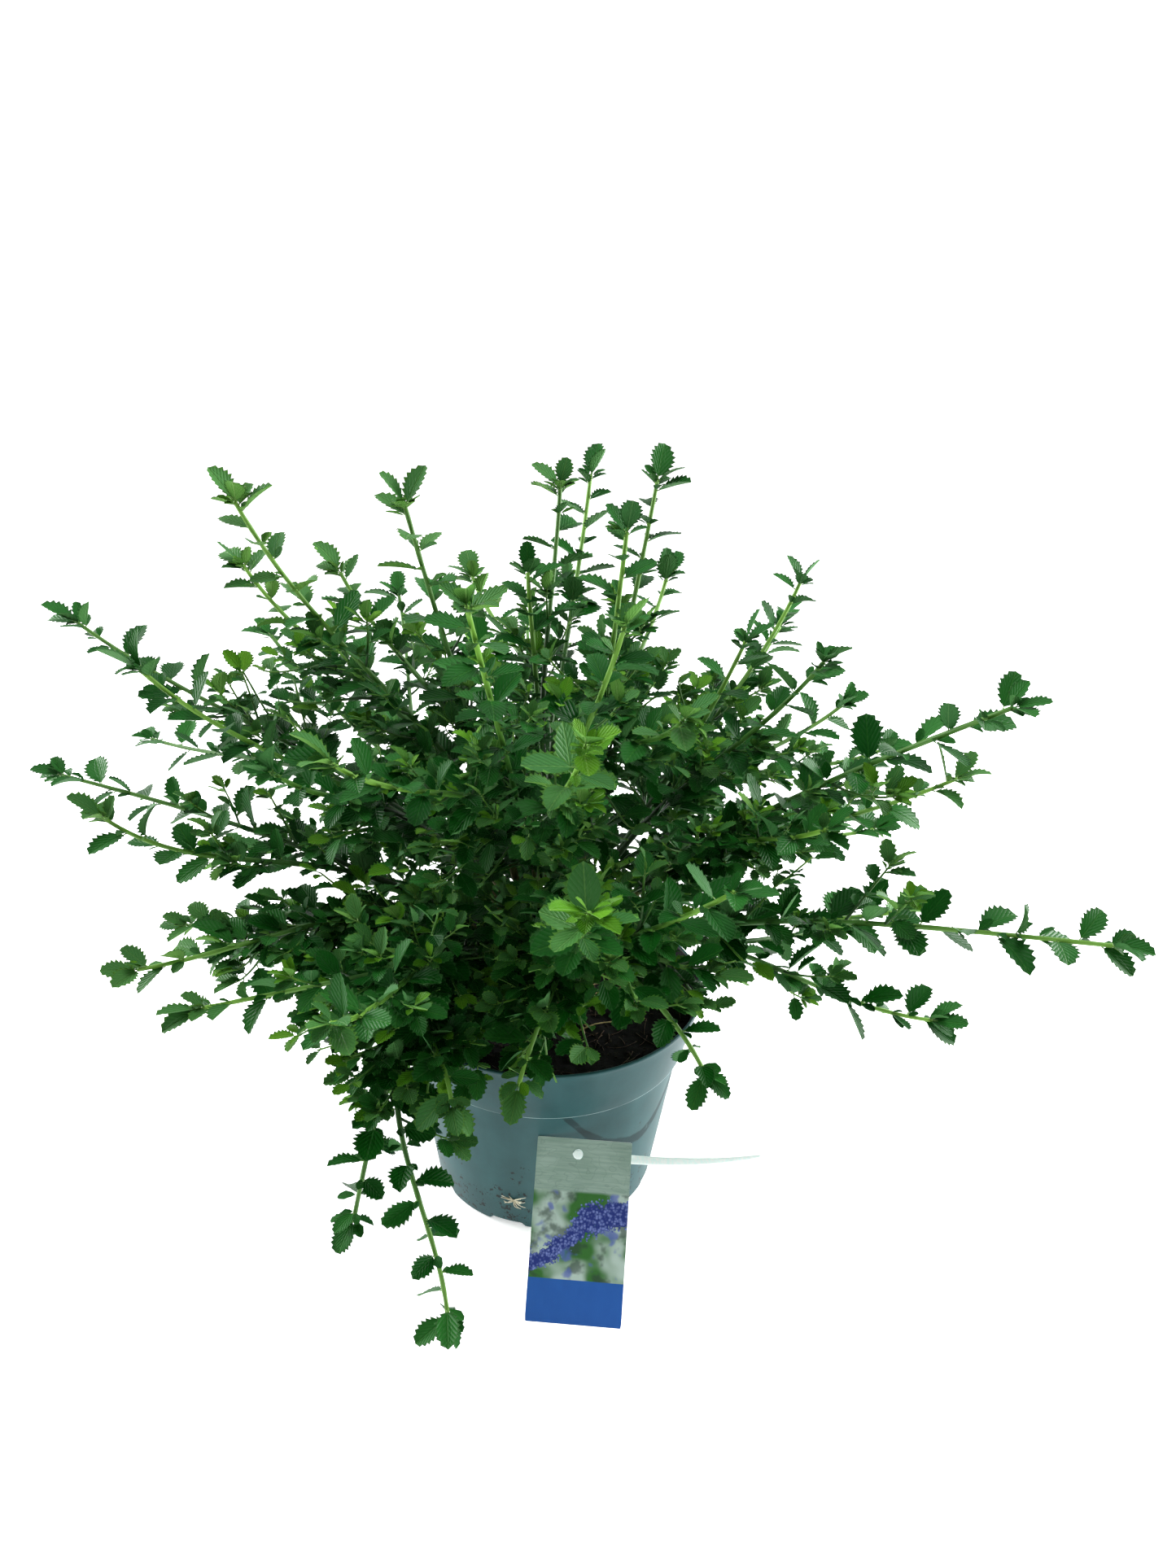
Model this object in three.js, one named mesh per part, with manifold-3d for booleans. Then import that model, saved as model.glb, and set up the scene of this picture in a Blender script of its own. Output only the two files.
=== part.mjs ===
// California lilac, the creeping kind, in a round plastic nursery pot with its plant label.
// Millimetres, +Z up. The origin is the centre of the pot's flat underside and the plant's front is -Y.
// A short woody stem stands in the potting soil and forks into boughs. Each bough ends in two masses
// of foliage, and each mass is a few long shoots with side twigs and leaves, grown by one seeded rule.

import * as THREE from "three";
import { mergeVertices } from "three/addons/utils/BufferGeometryUtils.js";
import Module from "manifold-3d";

const wasm = await Module();
wasm.setup();

// ---------- driving dimensions ----------

const SEAT = 0.3; // clearance between pieces that touch

const POT = {
  rimRadius: 95,
  height: 135,
  footRadius: 68.7,
  bandHeight: 98.2, // where the collar steps out from the wall
  wallTopRadius: 83.2,
  collarRadius: 85.9,
  step: 0.6, // height of the slope under the collar
  lip: 0.6, // rounding of the rim
  thickness: 2,
  floor: 4.2,
  footRound: 6,
  sides: 32,
  notches: 8,
  notchWidth: 18,
  notchHeight: 3,
  notchDepth: 9,
  firstNotch: 248, // heading in degrees
};
const SOIL = { top: 122, edgeDrop: 4, flatShare: 0.62 };

const TRUNK = {
  flareRadius: 12,
  waistRadius: 8,
  topRadius: 6.2,
  flareHeight: 9,
  height: 44,
  crownDrop: 3, // the top rounds over in this height
  crownRadius: 4.5,
  lean: [3, 2],
  sides: 12,
};
const BOUGH = { rootRadius: 2.5, tipRadius: 1.9, sides: 6, steps: 4 };
const SHOOT = { rootRadius: 1.35, tipRadius: 0.7, sides: 3, steps: 5, forkAt: 0.14, bend: 0.36 };
const TWIG = {
  every: 52, // millimetres of shoot for each side twig
  from: 0.2,
  to: 0.82,
  share: 0.34, // length as a share of its shoot's
  longest: 75,
  spread: 50, // degrees from the shoot
  lift: 0.5, // how far its outer half turns up
  radius: 0.65,
  steps: 2,
};
const LEAF = {
  length: 32,
  tipShrink: 0.3, // leaves at a shoot's tip are this much shorter
  width: 0.6, // as a share of the length
  thickness: 1.8,
  sink: 0.1, // how far its foot is sunk past the stalk's middle
  step: 32,
  spread: 56, // degrees from the stalk
  from: 0.13,
  twigFrom: 0.35,
  twigSize: 0.85,
  apart: 12, // between the middles of two leaves
};
const TURN = 2.39996; // golden angle between one leaf or twig and the next, in radians
const SEED = 1; // another seed turns and sizes the leaves and twigs anew
const CELL_GAP = 0.8; // foliage of two masses stays this far apart
const LIMB_GAP = 0.6;
const SITE_STEP = 5;

const LABEL = {
  width: 54,
  length: 100,
  thickness: 0.7,
  foot: [17.5, -140.5],
  heading: -5.6, // degrees, of its foot edge
  lean: 35, // degrees back from upright
  lift: 0.3,
  holeRadius: 3,
  holeDown: 8.5,
  holeAcross: -3.5,
};
const STRAP = { reach: 104, rootWidth: 5.4, tipWidth: 1.6, thickness: 0.9, rise: 9, button: 4.4 };

// Boughs, with the height at which each leaves the stem, and where it ends: heading in degrees (0 is +X,
// 90 is +Y), how far out and how high. Each mass lists its long shoots, of which the first carries the
// others: heading, reach and height of the tip, and how much the end lifts (+) or hangs (-).
const BOUGHS = [
  {
    name: "front_left_low", fork: 140, tip: [225, 64, 178],
    masses: [
      { name: "weeping_left", shoots: [[232, 166, 66, -1.1], [251, 146, 152, -0.5], [254, 177, 38, -1.1]] },
      { name: "front_left", shoots: [[248, 236, 258, 0.2], [212, 208, 188, 0]] },
    ],
  },
  {
    name: "left_low", fork: 143, tip: [193, 58, 188],
    masses: [
      { name: "left_low", shoots: [[203, 232, 198, 0], [181, 214, 172, -0.1]] },
      { name: "left", shoots: [[176, 285, 258, -0.1], [194, 240, 270, 0.6]] },
    ],
  },
  {
    name: "left_high", fork: 151, tip: [174, 48, 212],
    masses: [
      { name: "left_far", shoots: [[168, 284, 338, 0.1], [158, 280, 246, 0]] },
      { name: "left_front", shoots: [[196, 212, 352, 0.3], [218, 168, 318, 0.2]] },
    ],
  },
  {
    name: "top_left", fork: 159, tip: [188, 28, 238],
    masses: [
      { name: "top_left", shoots: [[191, 160, 430, 0.4], [165, 182, 378, 0.4]] },
      { name: "crown_left", shoots: [[208, 83, 432, 0.1], [155, 136, 372, 0.3]] },
    ],
  },
  {
    name: "front_high", fork: 157, tip: [256, 34, 230],
    masses: [
      { name: "front_high_left", shoots: [[260, 190, 426, 0], [242, 192, 352, 0.2]] },
      { name: "front_high_right", shoots: [[274, 192, 372, 0.1], [283, 134, 402, 0.3]] },
    ],
  },
  {
    name: "crown", fork: 158, tip: [100, 13, 250],
    masses: [
      { name: "crown", shoots: [[125, 26, 384, 0.2], [88, 60, 424, 0.2]] },
      { name: "crown_back", shoots: [[80, 118, 420, 0.3], [112, 140, 352, 0.3]] },
    ],
  },
  {
    name: "crown_right", fork: 160, tip: [345, 22, 242],
    masses: [
      { name: "crown_right", shoots: [[42, 75, 430, 0.1], [57, 128, 362, 0.3]] },
      { name: "crown_front", shoots: [[311, 53, 422, 0.2], [300, 122, 350, 0.2]] },
    ],
  },
  {
    name: "right_high", fork: 154, tip: [16, 42, 216],
    masses: [
      { name: "right_high", shoots: [[33, 180, 362, 0.5], [20, 118, 342, 0.3]] },
      { name: "right_mid", shoots: [[336, 147, 364, 0.2], [19, 187, 296, 0.2]] },
    ],
  },
  {
    name: "right", fork: 149, tip: [350, 54, 204],
    masses: [
      { name: "right", shoots: [[355, 226, 284, 0.1], [9, 200, 226, 0]] },
      { name: "right_front", shoots: [[324, 246, 374, -0.1], [318, 176, 300, 0.1]] },
    ],
  },
  {
    name: "right_low", fork: 141, tip: [328, 60, 186],
    masses: [
      { name: "right_low", shoots: [[345, 228, 150, 0.2], [1, 180, 172, 0]] },
      { name: "right_front_low", shoots: [[327, 305, 268, -0.1], [340, 198, 226, 0.1]] },
    ],
  },
  {
    name: "front_low", fork: 144, tip: [280, 54, 182],
    masses: [
      { name: "front_right", shoots: [[295, 190, 296, 0.1], [300, 160, 172, -0.9], [310, 132, 206, 0]] },
      { name: "front", shoots: [[274, 226, 316, 0.1], [264, 132, 158, -0.5]] },
    ],
  },
  {
    name: "back_left", fork: 147, tip: [135, 56, 192],
    masses: [
      { name: "back_left_low", shoots: [[144, 232, 206, 0], [160, 220, 176, 0]] },
      { name: "back_left", shoots: [[140, 248, 300, 0.2], [121, 205, 326, 0.3]] },
    ],
  },
  {
    name: "back", fork: 142, tip: [92, 56, 188],
    masses: [
      { name: "back_low", shoots: [[104, 236, 196, 0], [80, 214, 150, -0.4]] },
      { name: "back", shoots: [[95, 226, 290, 0.2], [72, 222, 254, 0.1]] },
    ],
  },
  {
    name: "back_right", fork: 146, tip: [46, 56, 192],
    masses: [
      { name: "back_right_low", shoots: [[34, 240, 178, 0], [56, 226, 206, 0]] },
      { name: "back_right", shoots: [[48, 232, 310, 0.2], [24, 236, 252, 0.1]] },
    ],
  },
];

// ---------- materials ----------

const finish = (color, roughness) => new THREE.MeshStandardMaterial({ color, roughness, metalness: 0 });
const PLASTIC = finish(0x8a9b9c, 0.5);
const EARTH = finish(0x191512, 0.95);
const BARK = finish(0x5a4a34, 0.85);
const FOLIAGE = finish(0x2f6b33, 0.45);
const CARD = finish(0x5b78b8, 0.4);
const CLEAR = finish(0xdfe9e6, 0.3);

// ---------- small helpers ----------

const UP = new THREE.Vector3(0, 0, 1);
const degrees = THREE.MathUtils.degToRad;

// A repeatable number from 0 to 1 for three counters.
function chance(a, b, c) {
  const wave = Math.sin(a * 12.9898 + b * 78.233 + c * 37.719 + SEED) * 43758.5453;
  return wave - Math.floor(wave);
}

function place([heading, reach, height]) {
  return new THREE.Vector3(reach * Math.cos(degrees(heading)), reach * Math.sin(degrees(heading)), height);
}

function toSolid(geometry) {
  const bare = geometry.clone();
  for (const name of ["normal", "uv"]) bare.deleteAttribute(name);
  const merged = mergeVertices(bare, 1e-4);
  return new wasm.Manifold(
    new wasm.Mesh({
      numProp: 3,
      vertProperties: new Float32Array(merged.attributes.position.array),
      triVerts: new Uint32Array(merged.index.array),
    }),
  );
}

function toGeometry(solid) {
  const mesh = solid.getMesh();
  const geometry = new THREE.BufferGeometry();
  geometry.setAttribute("position", new THREE.BufferAttribute(new Float32Array(mesh.vertProperties), 3));
  geometry.setIndex(new THREE.BufferAttribute(new Uint32Array(mesh.triVerts), 1));
  geometry.computeVertexNormals();
  return geometry;
}

const plant = new THREE.Group();

function addPiece(name, geometry, material) {
  const mesh = new THREE.Mesh(geometry, material);
  mesh.name = name;
  plant.add(mesh);
  return mesh;
}

// A tapering limb: rings of `sides` points carried along the curve, closed by a cap at each end.
function limb(curve, rootRadius, tipRadius, sides, steps) {
  const frames = curve.computeFrenetFrames(steps, false);
  const points = [];
  const faces = [];
  for (let i = 0; i <= steps; i++) {
    const centre = curve.getPointAt(i / steps);
    const radius = THREE.MathUtils.lerp(rootRadius, tipRadius, i / steps);
    for (let j = 0; j < sides; j++) {
      const turn = (j / sides) * Math.PI * 2;
      const rim = centre.clone();
      rim.addScaledVector(frames.normals[i], radius * Math.cos(turn));
      rim.addScaledVector(frames.binormals[i], radius * Math.sin(turn));
      points.push(rim);
      if (i === steps) continue;
      const [a, b] = [i * sides + j, i * sides + ((j + 1) % sides)];
      faces.push(a, b, b + sides, a, b + sides, a + sides);
    }
  }
  const last = steps * sides;
  for (let j = 1; j < sides - 1; j++) {
    faces.push(0, j + 1, j, last, last + j, last + j + 1);
  }
  return new THREE.BufferGeometry().setFromPoints(points).setIndex(faces);
}

// ---------- pot, soil ----------

// The wall's outer radius at a height, on the plain wall and on the collar above the band.
function potRadius(z) {
  const { footRadius, wallTopRadius, bandHeight, collarRadius, rimRadius, height } = POT;
  if (z < bandHeight) return THREE.MathUtils.mapLinear(z, 0, bandHeight, footRadius, wallTopRadius);
  return THREE.MathUtils.mapLinear(z, bandHeight, height, collarRadius, rimRadius);
}

function potGeometry() {
  const { rimRadius, collarRadius, wallTopRadius, thickness, footRound } = POT;
  const { height, bandHeight, step, lip, floor, sides } = POT;
  const corner = [0, 30, 60, 90].map((turn) => {
    const drop = footRound * (1 - Math.sin(degrees(turn)));
    return new THREE.Vector2(potRadius(drop) - footRound * (1 - Math.cos(degrees(turn))), drop);
  });
  const profile = [
    new THREE.Vector2(0, 0),
    ...corner.reverse(),
    new THREE.Vector2(wallTopRadius, bandHeight),
    new THREE.Vector2(collarRadius, bandHeight + step),
    new THREE.Vector2(rimRadius, height - lip),
    new THREE.Vector2(rimRadius - lip, height),
    new THREE.Vector2(rimRadius - thickness, height),
    new THREE.Vector2(collarRadius - thickness, bandHeight + step),
    new THREE.Vector2(wallTopRadius - thickness, bandHeight - thickness),
    new THREE.Vector2(potRadius(floor) - thickness, floor),
    new THREE.Vector2(0, floor),
  ];
  return new THREE.LatheGeometry(profile, sides).rotateX(Math.PI / 2);
}

// Drain notches round the foot, each a block taken out of the edge.
function notched(pot) {
  const { notches, notchWidth, notchHeight, notchDepth, footRadius, firstNotch } = POT;
  let cut = pot;
  for (let i = 0; i < notches; i++) {
    const block = new THREE.BoxGeometry(notchDepth * 2, notchWidth, notchHeight * 2);
    block.translate(footRadius, 0, 0);
    block.rotateZ(degrees(firstNotch + (360 * i) / notches));
    cut = cut.subtract(toSolid(block));
  }
  return cut;
}

function soilGeometry() {
  const { thickness, floor, bandHeight } = POT;
  const inside = (z) => potRadius(z) - thickness - SEAT;
  const profile = [
    new THREE.Vector2(0, floor + SEAT),
    new THREE.Vector2(inside(floor), floor + SEAT),
    new THREE.Vector2(inside(bandHeight - thickness), bandHeight - thickness),
    new THREE.Vector2(inside(SOIL.top - SOIL.edgeDrop), SOIL.top - SOIL.edgeDrop),
    new THREE.Vector2(inside(SOIL.top) * SOIL.flatShare, SOIL.top),
    new THREE.Vector2(0, SOIL.top),
  ];
  return new THREE.LatheGeometry(profile, POT.sides).rotateX(Math.PI / 2);
}

// ---------- stem and boughs ----------

function trunkAxis(z) {
  const share = (z - SOIL.top) / TRUNK.height;
  return new THREE.Vector3(TRUNK.lean[0] * share, TRUNK.lean[1] * share, z);
}

function trunkRadius(z) {
  const above = z - SOIL.top;
  if (above < TRUNK.flareHeight) {
    const share = above / TRUNK.flareHeight;
    return THREE.MathUtils.lerp(TRUNK.flareRadius, TRUNK.waistRadius, Math.sqrt(Math.max(share, 0)));
  }
  return THREE.MathUtils.mapLinear(above, TRUNK.flareHeight, TRUNK.height, TRUNK.waistRadius, TRUNK.topRadius);
}

function trunkGeometry() {
  const { height, flareHeight, crownDrop, crownRadius, lean, sides } = TRUNK;
  const levels = [0, 1.5, 4, flareHeight, height / 2, height - crownDrop];
  const profile = levels.map((level) => new THREE.Vector2(trunkRadius(SOIL.top + level), level));
  profile.unshift(new THREE.Vector2(0, 0));
  profile.push(new THREE.Vector2(crownRadius, height), new THREE.Vector2(0, height));
  const turned = new THREE.LatheGeometry(profile, sides).rotateX(Math.PI / 2);
  const shear = new THREE.Matrix4().makeShear(0, 0, 0, 0, lean[0] / height, lean[1] / height);
  return turned.applyMatrix4(shear).translate(0, 0, SOIL.top + SEAT);
}

// A curve from a start point that leaves along `leave` and ends at the tip, lifted or hanging.
function shootCurve(from, leave, tip, lift) {
  const chord = tip.clone().sub(from);
  const pull = chord.length() * SHOOT.bend;
  const arrive = chord.clone().normalize().addScaledVector(UP, lift).normalize();
  return new THREE.CubicBezierCurve3(
    from,
    from.clone().addScaledVector(leave, pull),
    tip.clone().addScaledVector(arrive, -pull),
    tip,
  );
}

function boughCurve(bough) {
  const tip = place(bough.tip);
  const outward = place([bough.tip[0], 1, 0]);
  const axis = trunkAxis(bough.fork);
  const rise = tip.clone().sub(axis).normalize();
  const leave = rise.clone().lerp(UP, 0.15).normalize();
  const tilt = Math.sqrt(1 - leave.dot(outward) ** 2);
  const clear = trunkRadius(bough.fork) + SEAT + BOUGH.rootRadius * tilt;
  return shootCurve(axis.addScaledVector(outward, clear), leave, tip, 0);
}

// ---------- where the shoots run ----------

const masses = [];
const limbs = []; // points along the stem and the boughs, with their radius

for (const bough of BOUGHS) {
  bough.curve = boughCurve(bough);
  for (let i = 0; i <= 20; i++) {
    const radius = THREE.MathUtils.lerp(BOUGH.rootRadius, BOUGH.tipRadius, i / 20);
    limbs.push({ at: bough.curve.getPointAt(i / 20), radius });
  }
  const end = bough.curve.getPoint(1);
  const along = bough.curve.getTangent(1);
  const [first, second] = bough.masses.map((mass) => place(mass.shoots[0]).sub(end));
  const apart = first.clone().sub(second);
  apart.addScaledVector(along, -apart.dot(along)).normalize();
  bough.masses.forEach((mass, side) => {
    const tip = place(mass.shoots[0]);
    const leave = tip.clone().sub(end).normalize().lerp(along, 0.5).normalize();
    const tilt = Math.sqrt(1 - leave.dot(along) ** 2);
    const sideways = (side ? -1 : 1) * (SHOOT.rootRadius + SEAT);
    const start = end.clone().addScaledVector(along, SEAT + SHOOT.rootRadius * tilt);
    const leader = shootCurve(start.addScaledVector(apart, sideways), leave, tip, mass.shoots[0][3]);
    const curves = mass.shoots.map((shoot, i) => {
      if (i === 0) return leader;
      const fork = onStalk(leader, SHOOT.steps, SHOOT.forkAt * i);
      return shootCurve(fork, leader.getTangentAt(SHOOT.forkAt * i), place(shoot), shoot[3]);
    });
    masses.push({ name: mass.name, curves, index: masses.length });
  });
}
for (let z = SOIL.top; z <= SOIL.top + TRUNK.height; z += 2) {
  limbs.push({ at: trunkAxis(z), radius: trunkRadius(z) });
}
for (const mass of masses) {
  mass.sites = mass.curves.flatMap((curve) => {
    const steps = Math.ceil(curve.getLength() / SITE_STEP);
    return curve.getSpacedPoints(steps);
  });
}

// ---------- the space of each mass ----------

const nearest = (sites, point) => sites.reduce((best, site) => Math.min(best, site.distanceToSquared(point)), 1e9);

// A point belongs to the mass whose shoots are nearest, with a gap to the next mass's space.
function inOwnSpace(mass, point, radius) {
  const own = Math.sqrt(nearest(mass.sites, point));
  return masses.every((other) => {
    return other === mass || Math.sqrt(nearest(other.sites, point)) > own + CELL_GAP + 2 * radius;
  });
}

function clearOfLimbs(point, radius) {
  return limbs.every((part) => part.at.distanceTo(point) > part.radius + radius + LIMB_GAP);
}

function clearOfPot(point, radius) {
  if (point.z > POT.height + radius + SEAT) return true;
  return point.z > 2 && Math.hypot(point.x, point.y) > potRadius(point.z) + radius + 1;
}

function fits(mass, points, radius) {
  return points.every((point) => {
    return clearOfPot(point, radius) && clearOfLimbs(point, radius) && inOwnSpace(mass, point, radius);
  });
}

// ---------- twigs and leaves ----------

// The middle of a stalk at a share of its length. The stalk is straight between its rings.
function onStalk(curve, steps, share) {
  const ring = Math.min(Math.floor(share * steps), steps - 1);
  return curve.getPointAt(ring / steps).lerp(curve.getPointAt((ring + 1) / steps), share * steps - ring);
}

// A direction that leans away from the stalk by `spread`, turned round it by `turn`.
function branchOff(along, turn, spread) {
  const side = new THREE.Vector3().crossVectors(along, UP);
  if (side.length() < 0.05) side.set(1, 0, 0);
  side.normalize();
  const over = new THREE.Vector3().crossVectors(side, along);
  const out = side.multiplyScalar(Math.cos(turn)).addScaledVector(over, Math.sin(turn));
  return along.clone().multiplyScalar(Math.cos(spread)).addScaledVector(out, Math.sin(spread)).normalize();
}

// A leaf of six faces: flat on top, keeled below, widest half way, with its foot sunk in the stalk.
function addLeaf(mass, foot, direction, length) {
  const side = new THREE.Vector3().crossVectors(direction, UP);
  if (side.length() < 0.05) side.set(1, 0, 0);
  side.normalize();
  const face = new THREE.Vector3().crossVectors(side, direction);
  const half = length / 2;
  const middle = foot.clone().addScaledVector(direction, half - LEAF.sink);
  const reach = (share, across) => {
    return middle.clone().addScaledVector(direction, share * half).addScaledVector(side, across * half * LEAF.width);
  };
  const outline = [reach(-0.4, 0), reach(0.35, 0), reach(0.7, 0), reach(1, 0), reach(0, 1), reach(0, -1)];
  outline.push(reach(-0.5, 0.5), reach(-0.5, -0.5), reach(0.5, 0.5), reach(0.5, -0.5));
  if (mass.middles.some((other) => other.distanceTo(middle) < LEAF.apart)) return;
  if (!fits(mass, outline, LEAF.thickness / 2)) return;
  const shape = new THREE.SphereGeometry(1, 3, 2).rotateY(Math.PI / 2);
  const frame = new THREE.Matrix4().makeBasis(
    side.clone().multiplyScalar(-half * LEAF.width),
    direction.clone().multiplyScalar(half),
    face.multiplyScalar(-LEAF.thickness / 2),
  );
  shape.applyMatrix4(frame.setPosition(middle));
  mass.solids.push(toSolid(shape));
  mass.middles.push(middle);
}

// Leaves wind up the stalk by the golden angle, and one closes its tip.
function addLeaves(mass, curve, steps, from, size, seed) {
  const count = Math.max(1, Math.round((curve.getLength() * (1 - from)) / LEAF.step));
  const start = chance(mass.index, seed, 1) * Math.PI * 2;
  for (let k = 0; k < count; k++) {
    const t = from + ((1 - from) * (k + 0.4)) / count;
    const length = LEAF.length * size * (1 - LEAF.tipShrink * t) * (0.85 + 0.3 * chance(mass.index, seed, k + 20));
    const direction = branchOff(curve.getTangentAt(t), start + k * TURN, degrees(LEAF.spread));
    addLeaf(mass, onStalk(curve, steps, t), direction, length);
  }
  const last = curve.getTangentAt(1);
  addLeaf(mass, curve.getPointAt(1).addScaledVector(last, -1), last, LEAF.length * size * (1 - LEAF.tipShrink));
}

function addTwigs(mass, curve, seed) {
  const length = curve.getLength();
  const count = Math.round((length * (TWIG.to - TWIG.from)) / TWIG.every);
  const start = chance(mass.index, seed, 2) * Math.PI * 2;
  for (let k = 0; k < count; k++) {
    const t = TWIG.from + ((TWIG.to - TWIG.from) * (k + 0.5)) / count;
    const foot = onStalk(curve, SHOOT.steps, t);
    const along = curve.getTangentAt(t);
    const out = branchOff(along, start + k * TURN, degrees(TWIG.spread));
    const vary = 0.75 + 0.5 * chance(mass.index, seed, k + 40);
    const reach = Math.min(TWIG.longest, length * TWIG.share * (1.2 - t) * vary);
    const turned = out.clone().lerp(along, 0.3).addScaledVector(UP, TWIG.lift).normalize();
    const elbow = foot.clone().addScaledVector(out, reach * 0.5);
    const end = elbow.clone().addScaledVector(turned, reach * 0.5);
    const twig = new THREE.QuadraticBezierCurve3(foot, elbow, end);
    if (!fits(mass, twig.getPoints(6).slice(1), TWIG.radius)) continue;
    mass.solids.push(toSolid(limb(twig, TWIG.radius, TWIG.radius * 0.85, 3, TWIG.steps)));
    addLeaves(mass, twig, TWIG.steps, LEAF.twigFrom, LEAF.twigSize, seed * 10 + k);
  }
}

function massGeometry(mass) {
  mass.middles = [];
  mass.solids = mass.curves.map((curve, i) => {
    const root = i ? SHOOT.rootRadius * 0.8 : SHOOT.rootRadius;
    return toSolid(limb(curve, root, SHOOT.tipRadius, SHOOT.sides, SHOOT.steps));
  });
  mass.curves.forEach((curve, i) => {
    addTwigs(mass, curve, i + 1);
    addLeaves(mass, curve, SHOOT.steps, LEAF.from, 1, i + 1);
  });
  const joined = wasm.Manifold.union(mass.solids).simplify(0.02);
  return toGeometry(joined);
}

// ---------- label and strap ----------

// Label axes: x across, y up its face, z out of its front. Its foot edge stands on the ground.
function labelFrame() {
  const turn = new THREE.Matrix4().makeRotationZ(degrees(LABEL.heading));
  const tip = new THREE.Matrix4().makeRotationX(Math.PI / 2 - degrees(LABEL.lean));
  const move = new THREE.Matrix4().makeTranslation(LABEL.foot[0], LABEL.foot[1], LABEL.lift);
  return move.multiply(turn).multiply(tip);
}

function labelGeometry() {
  const { width, length, holeAcross, holeDown, holeRadius, thickness } = LABEL;
  const card = new THREE.Shape();
  card.moveTo(-width / 2, 0).lineTo(width / 2, 0).lineTo(width / 2, length).lineTo(-width / 2, length);
  const hole = new THREE.Path();
  hole.absarc(holeAcross, length - holeDown, holeRadius, 0, Math.PI * 2, true);
  card.holes.push(hole);
  const plate = new THREE.ExtrudeGeometry(card, { depth: thickness, bevelEnabled: false, curveSegments: 10 });
  return plate.applyMatrix4(labelFrame());
}

// The loop's free tail runs behind the card to the right, thinning to a point, from a button in the hole.
function strapGeometry() {
  const { reach, rootWidth, tipWidth, thickness, rise, button } = STRAP;
  const [x, y] = [LABEL.holeAcross, LABEL.length - LABEL.holeDown];
  const sag = new THREE.QuadraticBezierCurve(
    new THREE.Vector2(x - 3, y),
    new THREE.Vector2(x + reach * 0.6, y - rise * 0.35),
    new THREE.Vector2(x + reach, y + rise * 0.75),
  );
  const steps = 8;
  const upper = [];
  const lower = [];
  for (let i = 0; i <= steps; i++) {
    const centre = sag.getPoint(i / steps);
    const half = THREE.MathUtils.lerp(rootWidth, tipWidth, (i / steps) ** 1.6) / 2;
    upper.push(new THREE.Vector2(centre.x, centre.y + half));
    lower.unshift(new THREE.Vector2(centre.x, centre.y - half));
  }
  const outline = new THREE.Shape([...lower, ...upper]);
  const tail = new THREE.ExtrudeGeometry(outline, { depth: thickness, bevelEnabled: false });
  tail.translate(0, 0, -thickness - SEAT);
  const pin = new THREE.CylinderGeometry(LABEL.holeRadius - SEAT, LABEL.holeRadius - SEAT, button - 1, 12);
  pin.rotateX(Math.PI / 2).translate(x, y, 0.9 - (button - 1) / 2 + 0.4);
  const joined = toSolid(tail).add(toSolid(pin));
  return toGeometry(joined).applyMatrix4(labelFrame());
}

// ---------- assembly ----------

addPiece("pot", toGeometry(notched(toSolid(potGeometry()))), PLASTIC);
addPiece("soil", soilGeometry(), EARTH);
addPiece("stem_base", trunkGeometry(), BARK);
for (const bough of BOUGHS) {
  const shape = limb(bough.curve, BOUGH.rootRadius, BOUGH.tipRadius, BOUGH.sides, BOUGH.steps);
  addPiece(`bough_${bough.name}`, shape, BARK);
}
for (const mass of masses) {
  addPiece(`foliage_${mass.name}`, massGeometry(mass), FOLIAGE);
}
addPiece("label_card", labelGeometry(), CARD);
addPiece("label_strap", strapGeometry(), CLEAR);

export default plant;
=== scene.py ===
# Creeping California lilac in its nursery pot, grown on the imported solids. Sizes are in millimetres
# until a mesh is made; the front of the plant is -Y and the ground is z = 0.
import math
from itertools import combinations

import bpy
import numpy as np
from mathutils import Matrix, Vector
from mathutils.kdtree import KDTree


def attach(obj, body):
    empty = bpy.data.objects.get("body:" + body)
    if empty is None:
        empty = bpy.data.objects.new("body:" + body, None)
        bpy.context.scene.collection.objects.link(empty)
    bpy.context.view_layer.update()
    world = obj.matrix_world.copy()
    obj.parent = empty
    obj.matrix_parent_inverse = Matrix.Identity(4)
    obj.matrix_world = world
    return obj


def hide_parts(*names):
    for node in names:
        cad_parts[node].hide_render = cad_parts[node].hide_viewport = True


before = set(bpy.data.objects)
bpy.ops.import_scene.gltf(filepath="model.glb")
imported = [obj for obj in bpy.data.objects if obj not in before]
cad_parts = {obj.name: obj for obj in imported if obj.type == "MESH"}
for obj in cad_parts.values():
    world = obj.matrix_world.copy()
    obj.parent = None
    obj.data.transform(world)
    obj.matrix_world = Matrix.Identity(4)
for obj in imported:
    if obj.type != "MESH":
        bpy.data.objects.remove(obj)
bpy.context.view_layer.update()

scene = bpy.context.scene
metre = 0.001  # metres in a millimetre
up = np.array([0.0, 0.0, 1.0])
goldenTurn = 2.39996  # between one leaf or twig and the next
seat = 0.3  # clearance between pieces that touch

camera = {  # place in metres, turns in radians
    "at": (0.0, -0.63729, 0.56009), "yaw": 0.033, "pitch": 0.430, "roll": 0.032,
    "focalPixels": 1510, "framePixels": (1445, 1927), "sensor": 36.0, "clip": (0.01, 50),
}


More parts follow.
